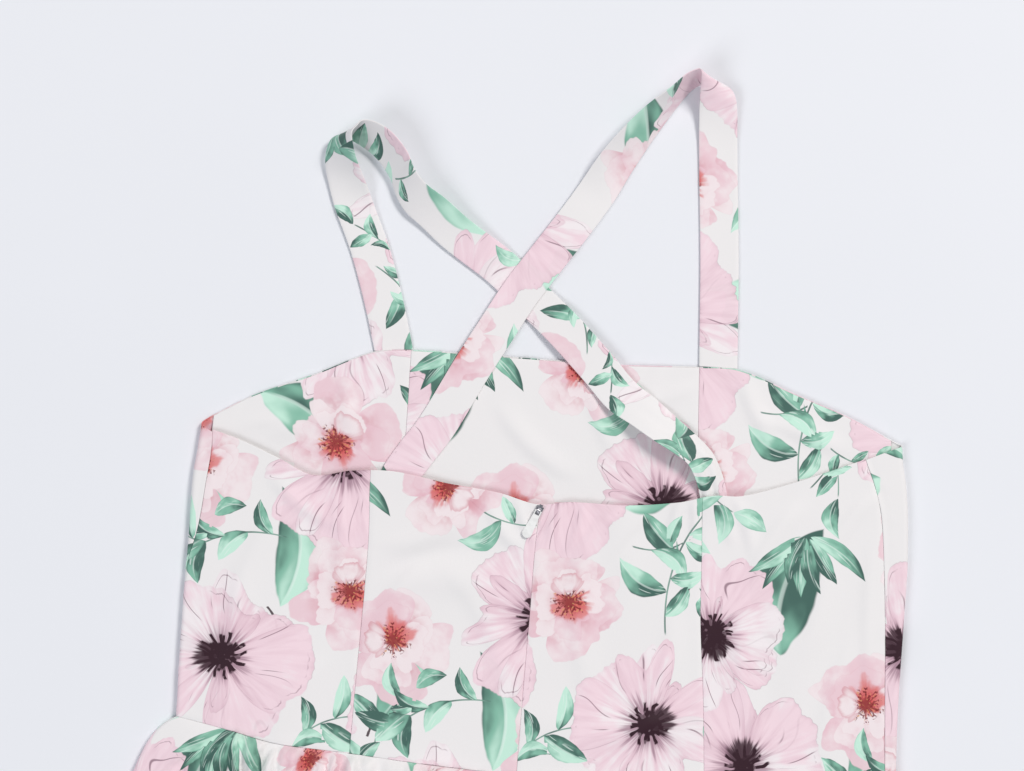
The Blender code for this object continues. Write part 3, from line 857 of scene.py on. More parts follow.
def motif_distance(motif, along, across):
    """How far out in its own region a place lies, above 1 outside it."""
    if motif.bow is None:
        return np.hypot(along, across) / (1.04 + MOTIF_MARGIN / motif.length)
    end = np.abs(2 * along - 1) / (1 + 2 * MOTIF_MARGIN / motif.length)
    flank = np.abs(across) / (1 + 2 * MOTIF_MARGIN / motif.width)
    return np.maximum(end, flank)


def add_charts(mesh, corners):
    """For each layer of the print, each face corner's place in the motif that its face lies in."""
    centre = corners.mean(axis=1)
    tile = np.floor(centre / TILE) * TILE
    centre = centre - tile
    corners = corners - tile[:, None, :]
    for layer, motifs in MOTIFS.items():
        nearest = np.ones(len(centre))
        places = np.full((len(centre), 4, 3), OUTSIDE, np.float32)
        places[..., 2] = 0
        for motif in repeated(motifs):
            reach = motif.length + 2 * MOTIF_MARGIN
            near = np.flatnonzero(
                (np.abs(centre[:, 0] - motif.x) < reach) & (np.abs(centre[:, 1] - motif.y) < reach)
            )
            distance = motif_distance(motif, *motif_place(motif, centre[near, 0], centre[near, 1]))
            closer = distance < nearest[near]
            chosen = near[closer]
            nearest[chosen] = distance[closer]
            along, across = motif_place(motif, corners[chosen, :, 0], corners[chosen, :, 1])
            places[chosen] = np.stack((along, across, np.full_like(along, motif.seed)), axis=2)
        made = mesh.attributes.new(layer, "FLOAT_VECTOR", "CORNER")
        made.data.foreach_set("vector", places.ravel())


def cut_from_print(name, across, up):
    """Print places of a piece, cut from the print at its own place and angle."""
    cut = CUTS[name]
    turn = math.radians(cut.turn)
    x = across * math.cos(turn) - up * math.sin(turn) + cut.right
    y = across * math.sin(turn) + up * math.cos(turn) + cut.up
    return np.stack(np.broadcast_arrays(x, y), axis=2)


def seam_groove(from_edge):
    """The dip of sewn cloth next to a seam."""
    return -0.32 * bump(from_edge, 1.1) + 0.12 * bump(from_edge - 3.4, 1.8)


def seam_puckers(along, from_edge, seed):
    """Short uneven ripples that run out from a seam."""
    depth = 0.32 * np.exp(-np.maximum(from_edge, 0) / 5.5)
    return depth * chance_wave(along + 0.25 * from_edge, 5.2, seed) * (
        0.6 + 0.4 * chance_wave(along, 34, seed + 1)
    )


def dress_piece(made, node, finish):
    """Sets a finished cloth piece in the place of its CAD node."""
    made.data.materials.append(finish)
    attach(made, "dress")
    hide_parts(node)
    return made


def bodice_panel(node, layer, start, end, folded, finish):
    """A bodice panel from one seam to the next, left to right, with its creases and sewn edges."""
    start, end = right_of(start), left_of(end)
    width = float(end(0) - start(0))
    top = back_top if layer == "back" else front_top
    share = panel_columns(width, folded)
    highest = meet_edge(top, start, end, share, 180)
    foot = between(start, end, share, 0)
    lowest = waist(round_the_side(foot, 0, FRONT_LEVEL, BACK_LEVEL)[0]) + GAP / 2
    place, y = panel_grid(start, end, share, highest, lowest)
    level, other = (BACK_LEVEL, FRONT_LEVEL) if layer == "back" else (FRONT_LEVEL, BACK_LEVEL)
    x, z = round_the_side(place, y, level, other)
    on_back = (z - FRONT_LEVEL) / (BACK_LEVEL - FRONT_LEVEL)
    points = np.stack((x, y, z + rise(x, y) * on_back**2), axis=2)

    from_left = place - start(y)
    from_right = end(y) - place
    from_top = highest - y
    from_waist = y - lowest
    seed = sum(map(ord, node))
    lift = seam_groove(from_left) + seam_groove(from_right) + seam_groove(from_waist)
    lift += seam_puckers(y, from_left, seed) + seam_puckers(y, from_right, seed + 3)
    lift += 1.4 * seam_puckers(place, from_waist, seed + 6)
    if layer == "back":
        lift += creased(BACK_CREASES, place, y) * on_back**2
        lift += 0.6 * seam_puckers(place, from_top, seed + 9)
        thick = THIN + TURNED * bump(from_top, 2.2)
    else:
        free = np.clip((FACED_ABOVE - y) / FACED_EASE, 0, 1)
        lift += creased(FRONT_CREASES, place, y) * free * (1 - on_back)
        roll = bump(from_top, 0.8) * (1 - on_back)
        points[..., 2] += 0.3 * roll
        thick = THIN + 0.5 * roll
        lift = -np.maximum(lift, -0.15)
    points += normals_of(points) * lift[..., None] * (1 if layer == "back" else -1)
    printed = cut_from_print(node, place, y)
    made = shell(node + "_cloth", points, printed, thick)
    return dress_piece(made, node, finish)


def add_bodice(finish):
    """The seven panels: each one's layer, seams from left to right, folded side and what it lies on."""
    panels = (
        ("front_side_left", "front", side("left", "front"), bodice["front_left"], "left", None),
        ("front_centre", "front", bodice["front_left"], bodice["front_right"], None, None),
        ("front_side_right", "front", bodice["front_right"], side("right", "front"), "right", None),
        ("back_side_left", "back", side("left", "back"), bodice["back_left"], "left", "front_side_left"),
        ("back_centre_left", "back", bodice["back_left"], bodice["zip"], None, "front_centre"),
        ("back_centre_right", "back", bodice["zip"], bodice["back_right"], None, "front_centre"),
        ("back_side_right", "back", bodice["back_right"], side("right", "back"), None, "front_side_right"),
    )
    for node, layer, start, end, folded, under in panels:
        rests_on = [under + "_cloth"] if under else []
        bodice_panel(node, layer, start, end, folded, finish)


def add_facings(finish):
    """The front's inside, seen above the back's top edge."""
    clear_of_fold = BACK_LEVEL / 2 + FACING_CLEAR_OF_FOLD

    def left_end(y):
        return bodice["left_edge"](y) + clear_of_fold

    def right_end(y):
        return bodice["right_edge"](y) - clear_of_fold

    pieces = (
        ("facing_left", left_end, bodice["front_left"], "front_side_left_cloth"),
        ("facing_centre", bodice["front_left"], bodice["front_right"], "front_centre_cloth"),
        ("facing_right", bodice["front_right"], right_end, "front_side_right_cloth"),
    )
    for node, start, end, under in pieces:
        start, end = right_of(start), left_of(end)
        width = float(end(200) - start(200))
        share = graded(width, PITCH) / width
        highest = meet_edge(front_top, start, end, share, 240) - FRONT_ROLL
        edge_place = between(start, end, share, highest)
        dip = np.maximum(0, FACING_DIP - np.abs(edge_place) / FACING_DIP_SLOPE)
        lowest = front_top(edge_place) - FACING_DEPTH - dip
        place, y = panel_grid(start, end, share, highest, lowest)
        points = np.stack((place, y, np.full(y.shape, FACING_LEVEL)), axis=2)
        seed = sum(map(ord, node))
        clear = np.clip((y - back_top(place) - 4) / 14, 0, 1)
        lift = 0.5 * (seam_groove(place - start(y)) + seam_groove(end(y) - place))
        lift += seam_puckers(y, place - start(y), seed) + seam_puckers(y, end(y) - place, seed + 3)
        lift += seam_puckers(place, highest - y, seed + 5)
        lift += creased(FACING_CREASES, place, y) * clear
        points[..., 2] += np.maximum(lift, -0.25) - 0.15 * bump(highest - y, 0.8)
        made = shell(node + "_cloth", points, cut_from_print(node, place, y), 0.7)
        dress_piece(made, node, finish)


def strap_table(stations, foot):
    """The strap's stations with the first laid along the front's top edge at its foot."""
    step = STRAP_WIDTH / 2
    left, right = float(front_top(foot - step)), float(front_top(foot + step))
    heading = math.degrees(math.atan2(right - left, STRAP_WIDTH))
    start = Station(foot, (left + right) / 2 + GAP, heading, 0, STRAP / 2)
    return [Numbered(k, *row) for k, row in enumerate((start, *stations))]


def add_strap(node, stations, foot, finish):
    """A flat tube of cloth whose width follows the stations' heading and pitch."""
    table = strap_table(stations, foot)
    follow = {column: Curve(table, column) for column in Station._fields}
    fine = np.linspace(table[-1].number, 0, 1200)
    line = np.stack([follow[column](fine) for column in ("x", "y", "z")], axis=1)
    run = np.concatenate(([0], np.cumsum(np.linalg.norm(np.diff(line, axis=0), axis=1))))
    distance = graded(run[-1], STRAP_PITCH)
    number = np.interp(distance, run, fine)
    across = graded(STRAP_WIDTH, STRAP_PITCH) / STRAP_WIDTH * 2 - 1
    heading, pitch = np.radians(follow["heading"](number)), np.radians(follow["pitch"](number))
    wide = np.stack(
        (np.cos(heading) * np.cos(pitch), np.sin(heading) * np.cos(pitch), np.sin(pitch)), axis=1
    )
    half = follow["wide"](number) * STRAP_WIDTH / 2
    z = np.maximum(follow["z"](number), STRAP / 2 + np.abs(wide[:, 2]) * half)
    middle = np.stack((follow["x"](number), follow["y"](number), z), axis=1)
    points = middle[:, None] + wide[:, None] * (across[None, :] * half[:, None])[..., None]
    seed = sum(map(ord, node))
    inset = (1 - np.abs(across)) * STRAP_WIDTH / 2
    ripple = STRAP_RIPPLE * chance_wave(distance[:, None] + 3 * across[None, :], 15, seed) * (
        1 - across[None, :] ** 2
    )
    pleated = (1 - follow["wide"](number))[:, None] * 3.2 * np.cos(across[None, :] * 2.2 * math.pi)
    thick = STRAP_THIN * (0.62 + 0.38 * np.minimum(inset / 1.6, 1))[None, :]
    lift = 0.5 * ripple + pleated - 0.12 * bump(inset, 1.0)[None, :]
    points = points + normals_of(points) * lift[..., None]
    printed = cut_from_print(node, across[None, :] * STRAP_WIDTH / 2, distance[:, None])
    made = shell(node + "_cloth", points, printed, np.broadcast_to(thick, points.shape[:2]))
    return dress_piece(made, node, finish)


def skirt_plan(place, down, half):
    """Plan point of a place across the skirt, half wide at the waist, at a distance down its rays."""
    share = place / half
    bulge = SHOULDER * share**3 * (1 - np.exp(-down / SHOULDER_DROP))
    x = place + down * np.sin(FLARE * share) + bulge
    return x, waist(place) + GAP / 2 - SEWN - down * np.cos(FLARE * share)


def right_of_line(line, x, y):
    """How far points lie to the right of a line that runs downward in plan."""
    (x0, y0), (x1, y1) = line
    length = math.hypot(x1 - x0, y1 - y0)
    return ((y0 - y1) * (x - x0) + (x1 - x0) * (y - y0)) / length


def deep_pleat(x, y, down):
    """The height of the pleat that lies over its neighbours at the left of the waist."""
    from_left, from_right = right_of_line(PLEAT_LEFT, x, y), right_of_line(PLEAT_RIGHT, x, y)
    in_left = np.clip(from_left / PLEAT_EDGE + 0.5, 0, 1)
    in_right = np.clip(0.5 - from_right / PLEAT_EDGE, 0, 1)
    hollows = [
        bump(from_left + PLEAT_HOLLOW_PLACE, PLEAT_HOLLOW_WIDTH),
        bump(from_right - PLEAT_HOLLOW_PLACE, PLEAT_HOLLOW_WIDTH),
    ]
    height = PLEAT_HEIGHT * smooth(in_left) * smooth(in_right) - PLEAT_HOLLOW * sum(hollows)
    return height * np.exp(-((down / PLEAT_REACH) ** 2))


def gathers(place, down, seed):
    """Uneven gathers that start at the waist, run into broader folds and die out at chance depths."""
    wander = 2.5 * chance_wave(place + down * 0.05, 60, seed + 1)
    close = np.abs(chance_wave(place + wander, GATHER_PITCH, seed)) ** 0.8
    other = np.abs(chance_wave(place + wander, GATHER_PITCH * 0.62, seed + 2))
    reach = GATHER_REACH * (1 + GATHER_CHANCE * chance_wave(place, 17, seed + 3))
    fading = np.exp(-np.maximum(down - 6, 0) / reach)
    return (0.72 * close + 0.28 * other) * fading


def broad_folds(place, down, seed):
    """The long folds that the gathers run into, wider apart towards the hem."""
    first = chance_wave(place, FOLD_PITCH_AT_WAIST, seed) * 0.5 + 0.5
    second = chance_wave(place + down * 0.03, FOLD_PITCH_AT_WAIST * 0.66, seed + 1) * 0.5 + 0.5
    return 0.6 * first + 0.4 * second


def back_folds(place, down, x, y, start_gather, seed):
    """How the skirt's back lifts in gathers, folds and creases, and how far its folds lean."""
    lean = np.zeros(np.broadcast(place, down).shape)
    lift = start_gather * (1.7 * skirt_row["gather"](down) + 2.0) * gathers(place, down, seed)
    lift = lift + skirt_row["fold"](down) * broad_folds(place, down, seed + 5)
    for pleat in PLEATS:
        wide = pleat.wide * (1 + down / 300)
        shape = bump(place - pleat.place, wide) * np.exp(-((down / pleat.reach) ** 2))
        lift = lift + start_gather * pleat.height * shape
        lean = lean + start_gather * pleat.lean * pleat.height * shape
    pleated = deep_pleat(x, y, down)
    lift = np.where(np.abs(pleated) > 0.05, start_gather * pleated + GATHERS_IN_PLEAT * lift, lift)
    lift = lift + start_gather * creased(SKIRT_CREASES, x, y)
    return np.clip(lift, LOWEST_LIFT, HIGHEST_LIFT), lean


def skirt_piece(layer, finish, thread):
    """One layer of the skirt: 0 to 1 lies flat, 1 to 2 turns round a side, 2 to 3 is tucked beyond."""
    back = layer == "back"
    flat_parts = np.linspace(0, 1, round(SKIRT_FLAT_WIDTH / SKIRT_ACROSS))
    part = np.concatenate((flat_parts, np.linspace(1, 2, 11)[1:], np.linspace(2, 3, 6)[1:]))
    part = part[::-1] if back else part
    near = graded(SKIRT_NEAR_DEPTH, SKIRT_NEAR, fine_end=False)
    far = SKIRT_NEAR_DEPTH + graded(SKIRT_LENGTH - SKIRT_NEAR_DEPTH, SKIRT_FAR, fine_start=False)
    down = np.concatenate((near, far[1:]))[:, None]
    part = part[None, :]
    level = skirt_row["level"](down)
    radius = (level - FRONT_LEVEL) / 2
    outward = -1 if back else 1
    halves = [abs(float(bodice[edge](0))) for edge in ("left_edge", "right_edge")]
    half, other_half = halves if back else halves[::-1]
    tuck, tucked_here = (TUCK_UNDER, TUCK_OVER) if back else (TUCK_OVER, TUCK_UNDER)
    start = -(other_half - radius - tucked_here - GAP)
    flat_end = half - radius
    own_level = level if back else np.full(level.shape, FRONT_LEVEL)
    middle = (level + FRONT_LEVEL) / 2
    turn = (np.clip(part, 1, 2) - 1) * math.pi
    place = np.where(
        part <= 1,
        start + (flat_end - start) * part,
        np.where(part <= 2, flat_end + radius * np.sin(turn), flat_end - (part - 2) * tuck),
    )
    height = middle + (own_level - middle) * np.cos(turn)
    calm = smooth(np.clip(np.minimum(part, 1 - part) * CALM_AT_SIDES, 0, 1))
    seed = 11 if back else 47
    signed = outward * place
    start_gather = np.clip(down / 4, 0, 1) ** 0.7
    x, y = skirt_plan(signed, down, np.where(place > 0, half, other_half))
    if back:
        lift, lean = back_folds(signed, down, x, y, start_gather, seed)
    else:
        lift, lean = start_gather * skirt_row["front"](down) * gathers(signed, down, seed), 0
    lift = lift * calm
    points = np.stack(np.broadcast_arrays(x + lean * calm, y, height + lift), axis=2)
    from_hem = SKIRT_LENGTH - down
    hemmed = np.clip((HEM_DEPTH - from_hem) / 0.8, 0, 1)
    thick = np.broadcast_to(THIN + 0.35 * hemmed + TURNED * bump(from_hem, 1.5), points.shape[:2])
    ripple = 0.25 * seam_puckers(signed, np.abs(from_hem - HEM_DEPTH), seed + 9)
    ripple = ripple + 0.12 * chance_wave(signed + down * 0.6, 19, seed + 8)
    ripple = ripple * calm + seam_groove(down) * 0.6
    points = points - outward * normals_of(points) * ripple[..., None]
    run = np.where(part <= 1, place, flat_end + (part - 1) * (tuck + PRINT_ROUND_SIDE))
    share = np.broadcast_to(run, points.shape[:2]) / half
    node = "skirt_" + layer
    printed = cut_from_print(node, outward * share * (PRINT_AT_WAIST + PRINT_FLARE * down), -down)
    hem_row = int(np.argmin(np.abs(SKIRT_LENGTH - HEM_DEPTH - down[:, 0])))
    outer = normals_of(points)[hem_row]
    add_stitches(node + "_hem_stitches", points[hem_row], outer, thread)
    made = shell(node + "_cloth", points, printed, thick)
    return dress_piece(made, node, finish)


def tube_sides(rings):
    """The faces round a tube, from one ring of points to the next."""
    count, faces = len(RING), []
    for i in range(rings - 1):
        for j in range(count):
            a, b = i * count + j, i * count + (j + 1) % count
            faces.append((a, b, b + count, a + count))
    return faces


def add_stitches(name, line, normal, finish):
    """A row of stitches that lie on the cloth along a line of points."""
    run = np.concatenate(([0], np.cumsum(np.linalg.norm(np.diff(line, axis=0), axis=1))))
    starts = np.arange(2.0, run[-1] - STITCH_PITCH, STITCH_PITCH)
    shares = np.array((0.0, 0.22, 0.78, 1.0))
    sunk = np.array((-0.75, 0.35, 0.35, -0.75)) * STITCH_THICK
    at = starts[:, None] + STITCH_LENGTH * shares[None, :]
    middle = np.stack([np.interp(at, run, line[:, k]) for k in range(3)], axis=2)
    up = np.stack([np.interp(at, run, normal[:, k]) for k in range(3)], axis=2)
    ahead = middle[:, -1:] - middle[:, :1]
    aside = np.cross(up, ahead / np.linalg.norm(ahead, axis=2, keepdims=True))
    middle = middle + up * (THIN / 2 + 0.2 + sunk[None, :, None])
    circle = aside[:, :, None] * np.cos(RING)[:, None] + up[:, :, None] * np.sin(RING)[:, None]
    verts = (middle[:, :, None] + circle * STITCH_THICK / 2).reshape(-1, 3)
    last = (len(shares) - 1) * len(RING)
    sides = tube_sides(len(shares)) + [(3, 2, 1, 0), (5, 4, 3, 0)]
    sides += [(last, last + 1, last + 2, last + 3), (last, last + 3, last + 4, last + 5)]
    first = np.arange(len(starts))[:, None, None] * len(shares) * len(RING)
    made = make_mesh(name, verts, (first + np.array(sides)[None]).reshape(-1, 4))
    made.data.materials.append(finish)
    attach(made, "dress")
    return made


def add_tape(finish):
    """The zip's two woven tapes side by side under the centre back seam."""
    top = float(back_top(SLIDER_X)) - TAPE_SETBACK
    bottom = float(waist(bodice["zip"](0))) + TAPE_OVERRUN
    y = (top + (bottom - top) * graded(top - bottom, PITCH) / (top - bottom))[:, None]
    across = graded(TAPE_WIDTH, 1.0) - TAPE_WIDTH / 2
    x = bodice["zip"](y) + across[None, :]
    wale = 0.10 * np.cos(across * math.pi / 1.1) * (np.abs(across) > 2)
    split = -0.22 * bump(across, 0.5) + 0.12 * bump(np.abs(across) - 1.3, 0.6)
    z = TAPE_LEVEL + (wale + split)[None, :] + np.zeros(x.shape)
    points = np.stack(np.broadcast_arrays(x, y, z), axis=2)
    made = shell("zip_tape_cloth", points, np.zeros(points.shape[:2] + (2,)), 0.5)
    for name in MOTIFS:
        made.data.attributes.remove(made.data.attributes[name])
    return dress_piece(made, "zip_tape", finish)


def add_chain(finish):
    """The zip's coil: one bent loop for each tooth, in turn from either tape."""
    path = np.radians(np.linspace(-110, 110, 7))
    sides = tube_sides(len(path))
    for base in (0, (len(path) - 1) * len(RING)):
        sides += [(base, base + 1, base + 2, base + 3), (base, base + 3, base + 4, base + 5)]
    verts, faces = [], []
    for k in range(int((CHAIN_TOP - CHAIN_BOTTOM) / TOOTH_PITCH)):
        y = CHAIN_BOTTOM + k * TOOTH_PITCH
        hand = 1 if k % 2 else -1
        faces.append(np.array(sides) + k * len(RING) * len(path))
        loop = np.stack(
            (-hand * (np.cos(path) * TOOTH_REACH * 0.8 - 0.55), np.sin(path) * 0.34, np.zeros(7)), axis=1
        )
        tube = []
        for p, turn in zip(loop, path):
            away = np.array((-hand * math.cos(turn), math.sin(turn), 0))
            circle = np.outer(np.cos(RING), away) + np.outer(np.sin(RING), (0, 0, 1))
            tube.append(p + circle * TOOTH_THICK / 2)
        place = np.array((float(bodice["zip"](y)), y, TAPE_LEVEL + 0.42))
        verts.append(np.concatenate(tube) + place)
    made = make_mesh("zip_chain", np.concatenate(verts), np.concatenate(faces))
    made.data.materials.append(finish)
    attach(made, "dress")
    return made


def screen(colour):
    """A colour as it shows on a screen, as light."""
    return (*(c / 12.92 if c <= 0.04045 else ((c + 0.055) / 1.055) ** 2.4 for c in colour), 1)


class Number:
    """A number that varies over the surface. Arithmetic on it adds nodes to its material."""

    def __init__(self, tree, socket):
        self.tree = tree
        self.socket = socket

    def put(self, node_type, settings, inputs, output=0):
        node = self.tree.nodes.new(node_type)
        for name, value in settings.items():
            setattr(node, name, value)
        for name, value in inputs.items():
            if isinstance(value, Number):
                self.tree.links.new(value.socket, node.inputs[name])
            else:
                node.inputs[name].default_value = value
        return Number(self.tree, node.outputs[output])

    def math(self, operation, other=None):
        inputs = {0: self} if other is None else {0: self, 1: other}
        return self.put("ShaderNodeMath", {"operation": operation}, inputs)

    def __add__(self, other):
        return self.math("ADD", other)

    def __sub__(self, other):
        return self.math("SUBTRACT", other)

    def __mul__(self, other):
        return self.math("MULTIPLY", other)

    def __truediv__(self, other):
        return self.math("DIVIDE", other)

    def __rsub__(self, other):
        return self.put("ShaderNodeMath", {"operation": "SUBTRACT"}, {0: other, 1: self})

    __radd__ = __add__
    __rmul__ = __mul__

    def power(self, exponent):
        return self.math("POWER", exponent)

    def size(self):
        return self.math("ABSOLUTE")

    def ease(self, start, end):
        """0 at the start, 1 at the end and beyond, and smooth between."""
        settings = {"interpolation_type": "SMOOTHSTEP"}
        low, high, flip = (start, end, False) if start < end else (end, start, True)
        inputs = {0: self, 1: low, 2: high, 3: 1.0 if flip else 0.0, 4: 0.0 if flip else 1.0}
        return self.put("ShaderNodeMapRange", settings, inputs)

    def noise(self, y, z, scale=1.0, detail=1.5):
        """Smooth chance from 0 to 1 at a point whose x is this number."""
        point = self.put("ShaderNodeCombineXYZ", {}, {0: self, 1: y, 2: z})
        inputs = {"Vector": point, "Scale": scale, "Detail": detail, "Roughness": 0.55}
        return self.put("ShaderNodeTexNoise", {"noise_dimensions": "3D"}, inputs)

    def into(self, node, name):
        self.tree.links.new(self.socket, node.inputs[name])

    def blend(self, under, over):
        """A colour between two, by this share."""
        under, over = (tone if isinstance(tone, Number) else screen(tone) for tone in (under, over))
        settings = {"data_type": "RGBA", "clamp_factor": True}
        return self.put("ShaderNodeMix", settings, {0: self, 6: under, 7: over}, output=2)


def chart(tree, layer):
    """A print layer's own places and seed, from its face corners."""
    node = tree.nodes.new("ShaderNodeAttribute")
    node.attribute_name = layer
    split = tree.nodes.new("ShaderNodeSeparateXYZ")
    tree.links.new(node.outputs["Vector"], split.inputs[0])
    return tuple(Number(tree, split.outputs[k]) for k in range(3))


def polar(x, y):
    """Radius, and the unit direction, of a place round a flower's middle."""
    radius = (x * x + y * y + 1e-5).power(0.5)
    return radius, x / radius, y / radius


def petals(x, y, seed, toward, count, phase):
    """The place across the petal, from 0 in its middle to 1 at its sides, and the petal's own chance."""
    turn = y.math("ARCTAN2", x) * (count / (2 * math.pi))
    uneven = toward[0].noise(toward[1], seed * 31 + phase, scale=1.3, detail=0) * 1.6
    spin = turn + uneven + seed * 7 + phase
    across = (spin.math("FRACT") * 2 - 1).size()
    number = spin.math("FLOOR") + 40 * count
    number = number.math("MODULO", count)
    return across, (number * 1.7 + seed * 23 + phase).math("SINE") * 0.5 + 0.5


def draw_leaf(tree, layer, under, glints=0.6):
    """A leaf from its base at 0 to its tip at 1, over the colour under it."""
    along, across, seed = chart(tree, layer)
    blot = along.noise(across * 0.35, seed * 40, scale=3.2)
    body = along.math("MAXIMUM", 0.0).power(0.86)
    outline = body * (1 - body) * 4 - across.size() + (blot - 0.5) * 0.4
    cover = outline.ease(0.0, 0.09) * along.ease(-0.02, 0.02)
    flip = (seed * 61).math("SINE")
    half = across.ease(-0.10, 0.10) - 0.5
    tone = (along - 0.5) * flip * 1.05 + half * ((seed * 37).math("COSINE") * 0.6) + (seed - 0.5) * 0.75
    tone = tone + (blot - 0.5) * 1.2 + outline.ease(0.22, 0.0) * 0.2 + 0.48
    green = tone.ease(0.05, 0.55).blend(MINT, LEAF_GREEN)
    green = tone.ease(0.5, 1.0).blend(green, LEAF_DARK)
    rib = across.size().ease(0.10, 0.03) * along.ease(0.02, 0.2) * along.ease(0.92, 0.6)
    glint = along.noise(across * 2.4, seed * 17, scale=3.0, detail=0).ease(0.66, 0.72)
    light = (rib * 0.5).math("MAXIMUM", glint * across.size().ease(0.7, 0.3) * glints)
    return cover.blend(under, light.blend(green, LEAF_LIGHT))


def draw_stems(tree, under):
    """Thin stems, and the dark strokes of the flowers, whose seed is above a half."""
    along, across, seed = chart(tree, "stems")
    press = along.noise(seed * 30, across * 0.1, scale=5.0)
    width = press * 0.7 + 0.45
    cover = (width - across.size()).ease(0.0, 0.25) * along.ease(0.0, 0.03) * along.ease(1.0, 0.97)
    dark = seed.ease(0.5, 0.6)
    green = press.ease(0.35, 0.7).blend(STEM_GREEN, LEAF_DARK)
    return (cover * 0.9).blend(under, dark.blend(green, DARK_HEART))


def strokes(turn, radius, seed, count):
    """The distance to the nearest of a round of radial strokes, and that stroke's own two chances."""
    spun = turn * count
    away = (spun.math("FRACT") - 0.5).size() * radius * (2 * math.pi / count)
    number = spun.math("FLOOR").math("MODULO", count)
    own = (number * 2.4 + seed * 37).math("SINE") * 0.5 + 0.5
    return away, own, (own * 7.3 + number * 0.31).math("FRACT")


def draw_anemone(tree, layer, under):
    """A wide pale flower: two rounds of long washed petals, fine veins, and a dark heart with stamens."""
    x, y, seed = chart(tree, layer)
    radius, to_x, to_y = polar(x, y)
    ruffle = to_x.noise(to_y, seed * 19, scale=3.6, detail=3)
    wash = x.noise(y, seed * 50, scale=1.7, detail=3)
    brushed = to_x.noise(to_y, seed * 23 + radius * 0.22, scale=9, detail=2)
    wobble = x.noise(y, seed * 13, scale=1.5, detail=0) - 0.5
    turn = y.math("ARCTAN2", x) * (0.5 / math.pi) + 1
    away, own, other = strokes(turn + wobble * 0.16, radius, seed, 44)
    reaches = (radius - other * 0.35 - 0.18).ease(0.0, 0.1) * (own * 0.8 + 0.3 - radius).ease(0.0, 0.2)
    vein = away.ease(0.010, 0.002) * reaches * other.ease(0.35, 0.8)
    colour = under
    for phase, reach in ((0.5, 1.0), (0.0, 1.02)):
        across, chanced = petals(x, y, seed, (to_x, to_y), 3, phase)
        edge = reach - 0.08 + chanced * 0.12 - across.power(2.2) * 0.95 + (ruffle - 0.5) * 0.26
        inside = edge - radius
        shade = across.ease(0.30, 0.75) * 0.35 + radius.ease(0.50, 0.12) * 0.55 + (brushed - 0.45) * 1.2
        shade = shade + inside.ease(0.07, 0.0) * 0.25
        drift = wash + chanced * 0.3 - 0.13 + (brushed - 0.5) * 0.5
        petal = drift.ease(0.34, 0.60).blend(PETAL_WHITE, BLUSH)
        petal = (shade * (wash * 1.2)).blend(petal, PETAL_SHADE)
        line = inside.size().ease(0.020, 0.004) * wash.ease(0.42, 0.56) * 0.7
        second = (inside - 0.05 - brushed * 0.05).size().ease(0.012, 0.003) * ruffle.ease(0.48, 0.58) * 0.45
        petal = (line + second + vein * inside.ease(0.0, 0.1) * 0.75).blend(petal, VEIN)
        colour = (inside.ease(0.0, 0.02) * 0.96).blend(colour, petal)
    halo = (brushed * 0.55 + 0.10 - radius).ease(0.0, 0.2) * 0.6
    colour = halo.blend(colour, SOFT_HEART)
    lobe_x = x - (seed * 90).math("SINE") * 0.16
    lobe_y = y - (seed * 90).math("COSINE") * 0.16
    lobe = (lobe_x * lobe_x + lobe_y * lobe_y + 1e-5).power(0.5)
    lobe = (brushed * 0.26 + 0.02 - lobe).ease(-0.05, 0.03) * 0.9
    colour = lobe.blend(colour, DARK_HEART)
    jitter = x.noise(y, seed * 71, scale=5.0, detail=1) - 0.5
    away, own, other = strokes(turn + jitter * 0.10, radius, seed + 0.37, 34)
    tip = own * 0.15 + 0.13 + wobble * 0.25
    hair = (away - other * 0.006).ease(0.020, 0.011) * (tip - radius).ease(-0.015, 0.01)
    core = (other * 0.06 + 0.09 + (ruffle - 0.5) * 0.2 + wobble * 0.2 - radius).ease(-0.01, 0.02)
    specks = x.noise(y, seed * 9, scale=18, detail=0).ease(0.70, 0.64) * 0.3 + 0.7
    return (core.math("MAXIMUM", hair) * specks).blend(colour, DARK_HEART)


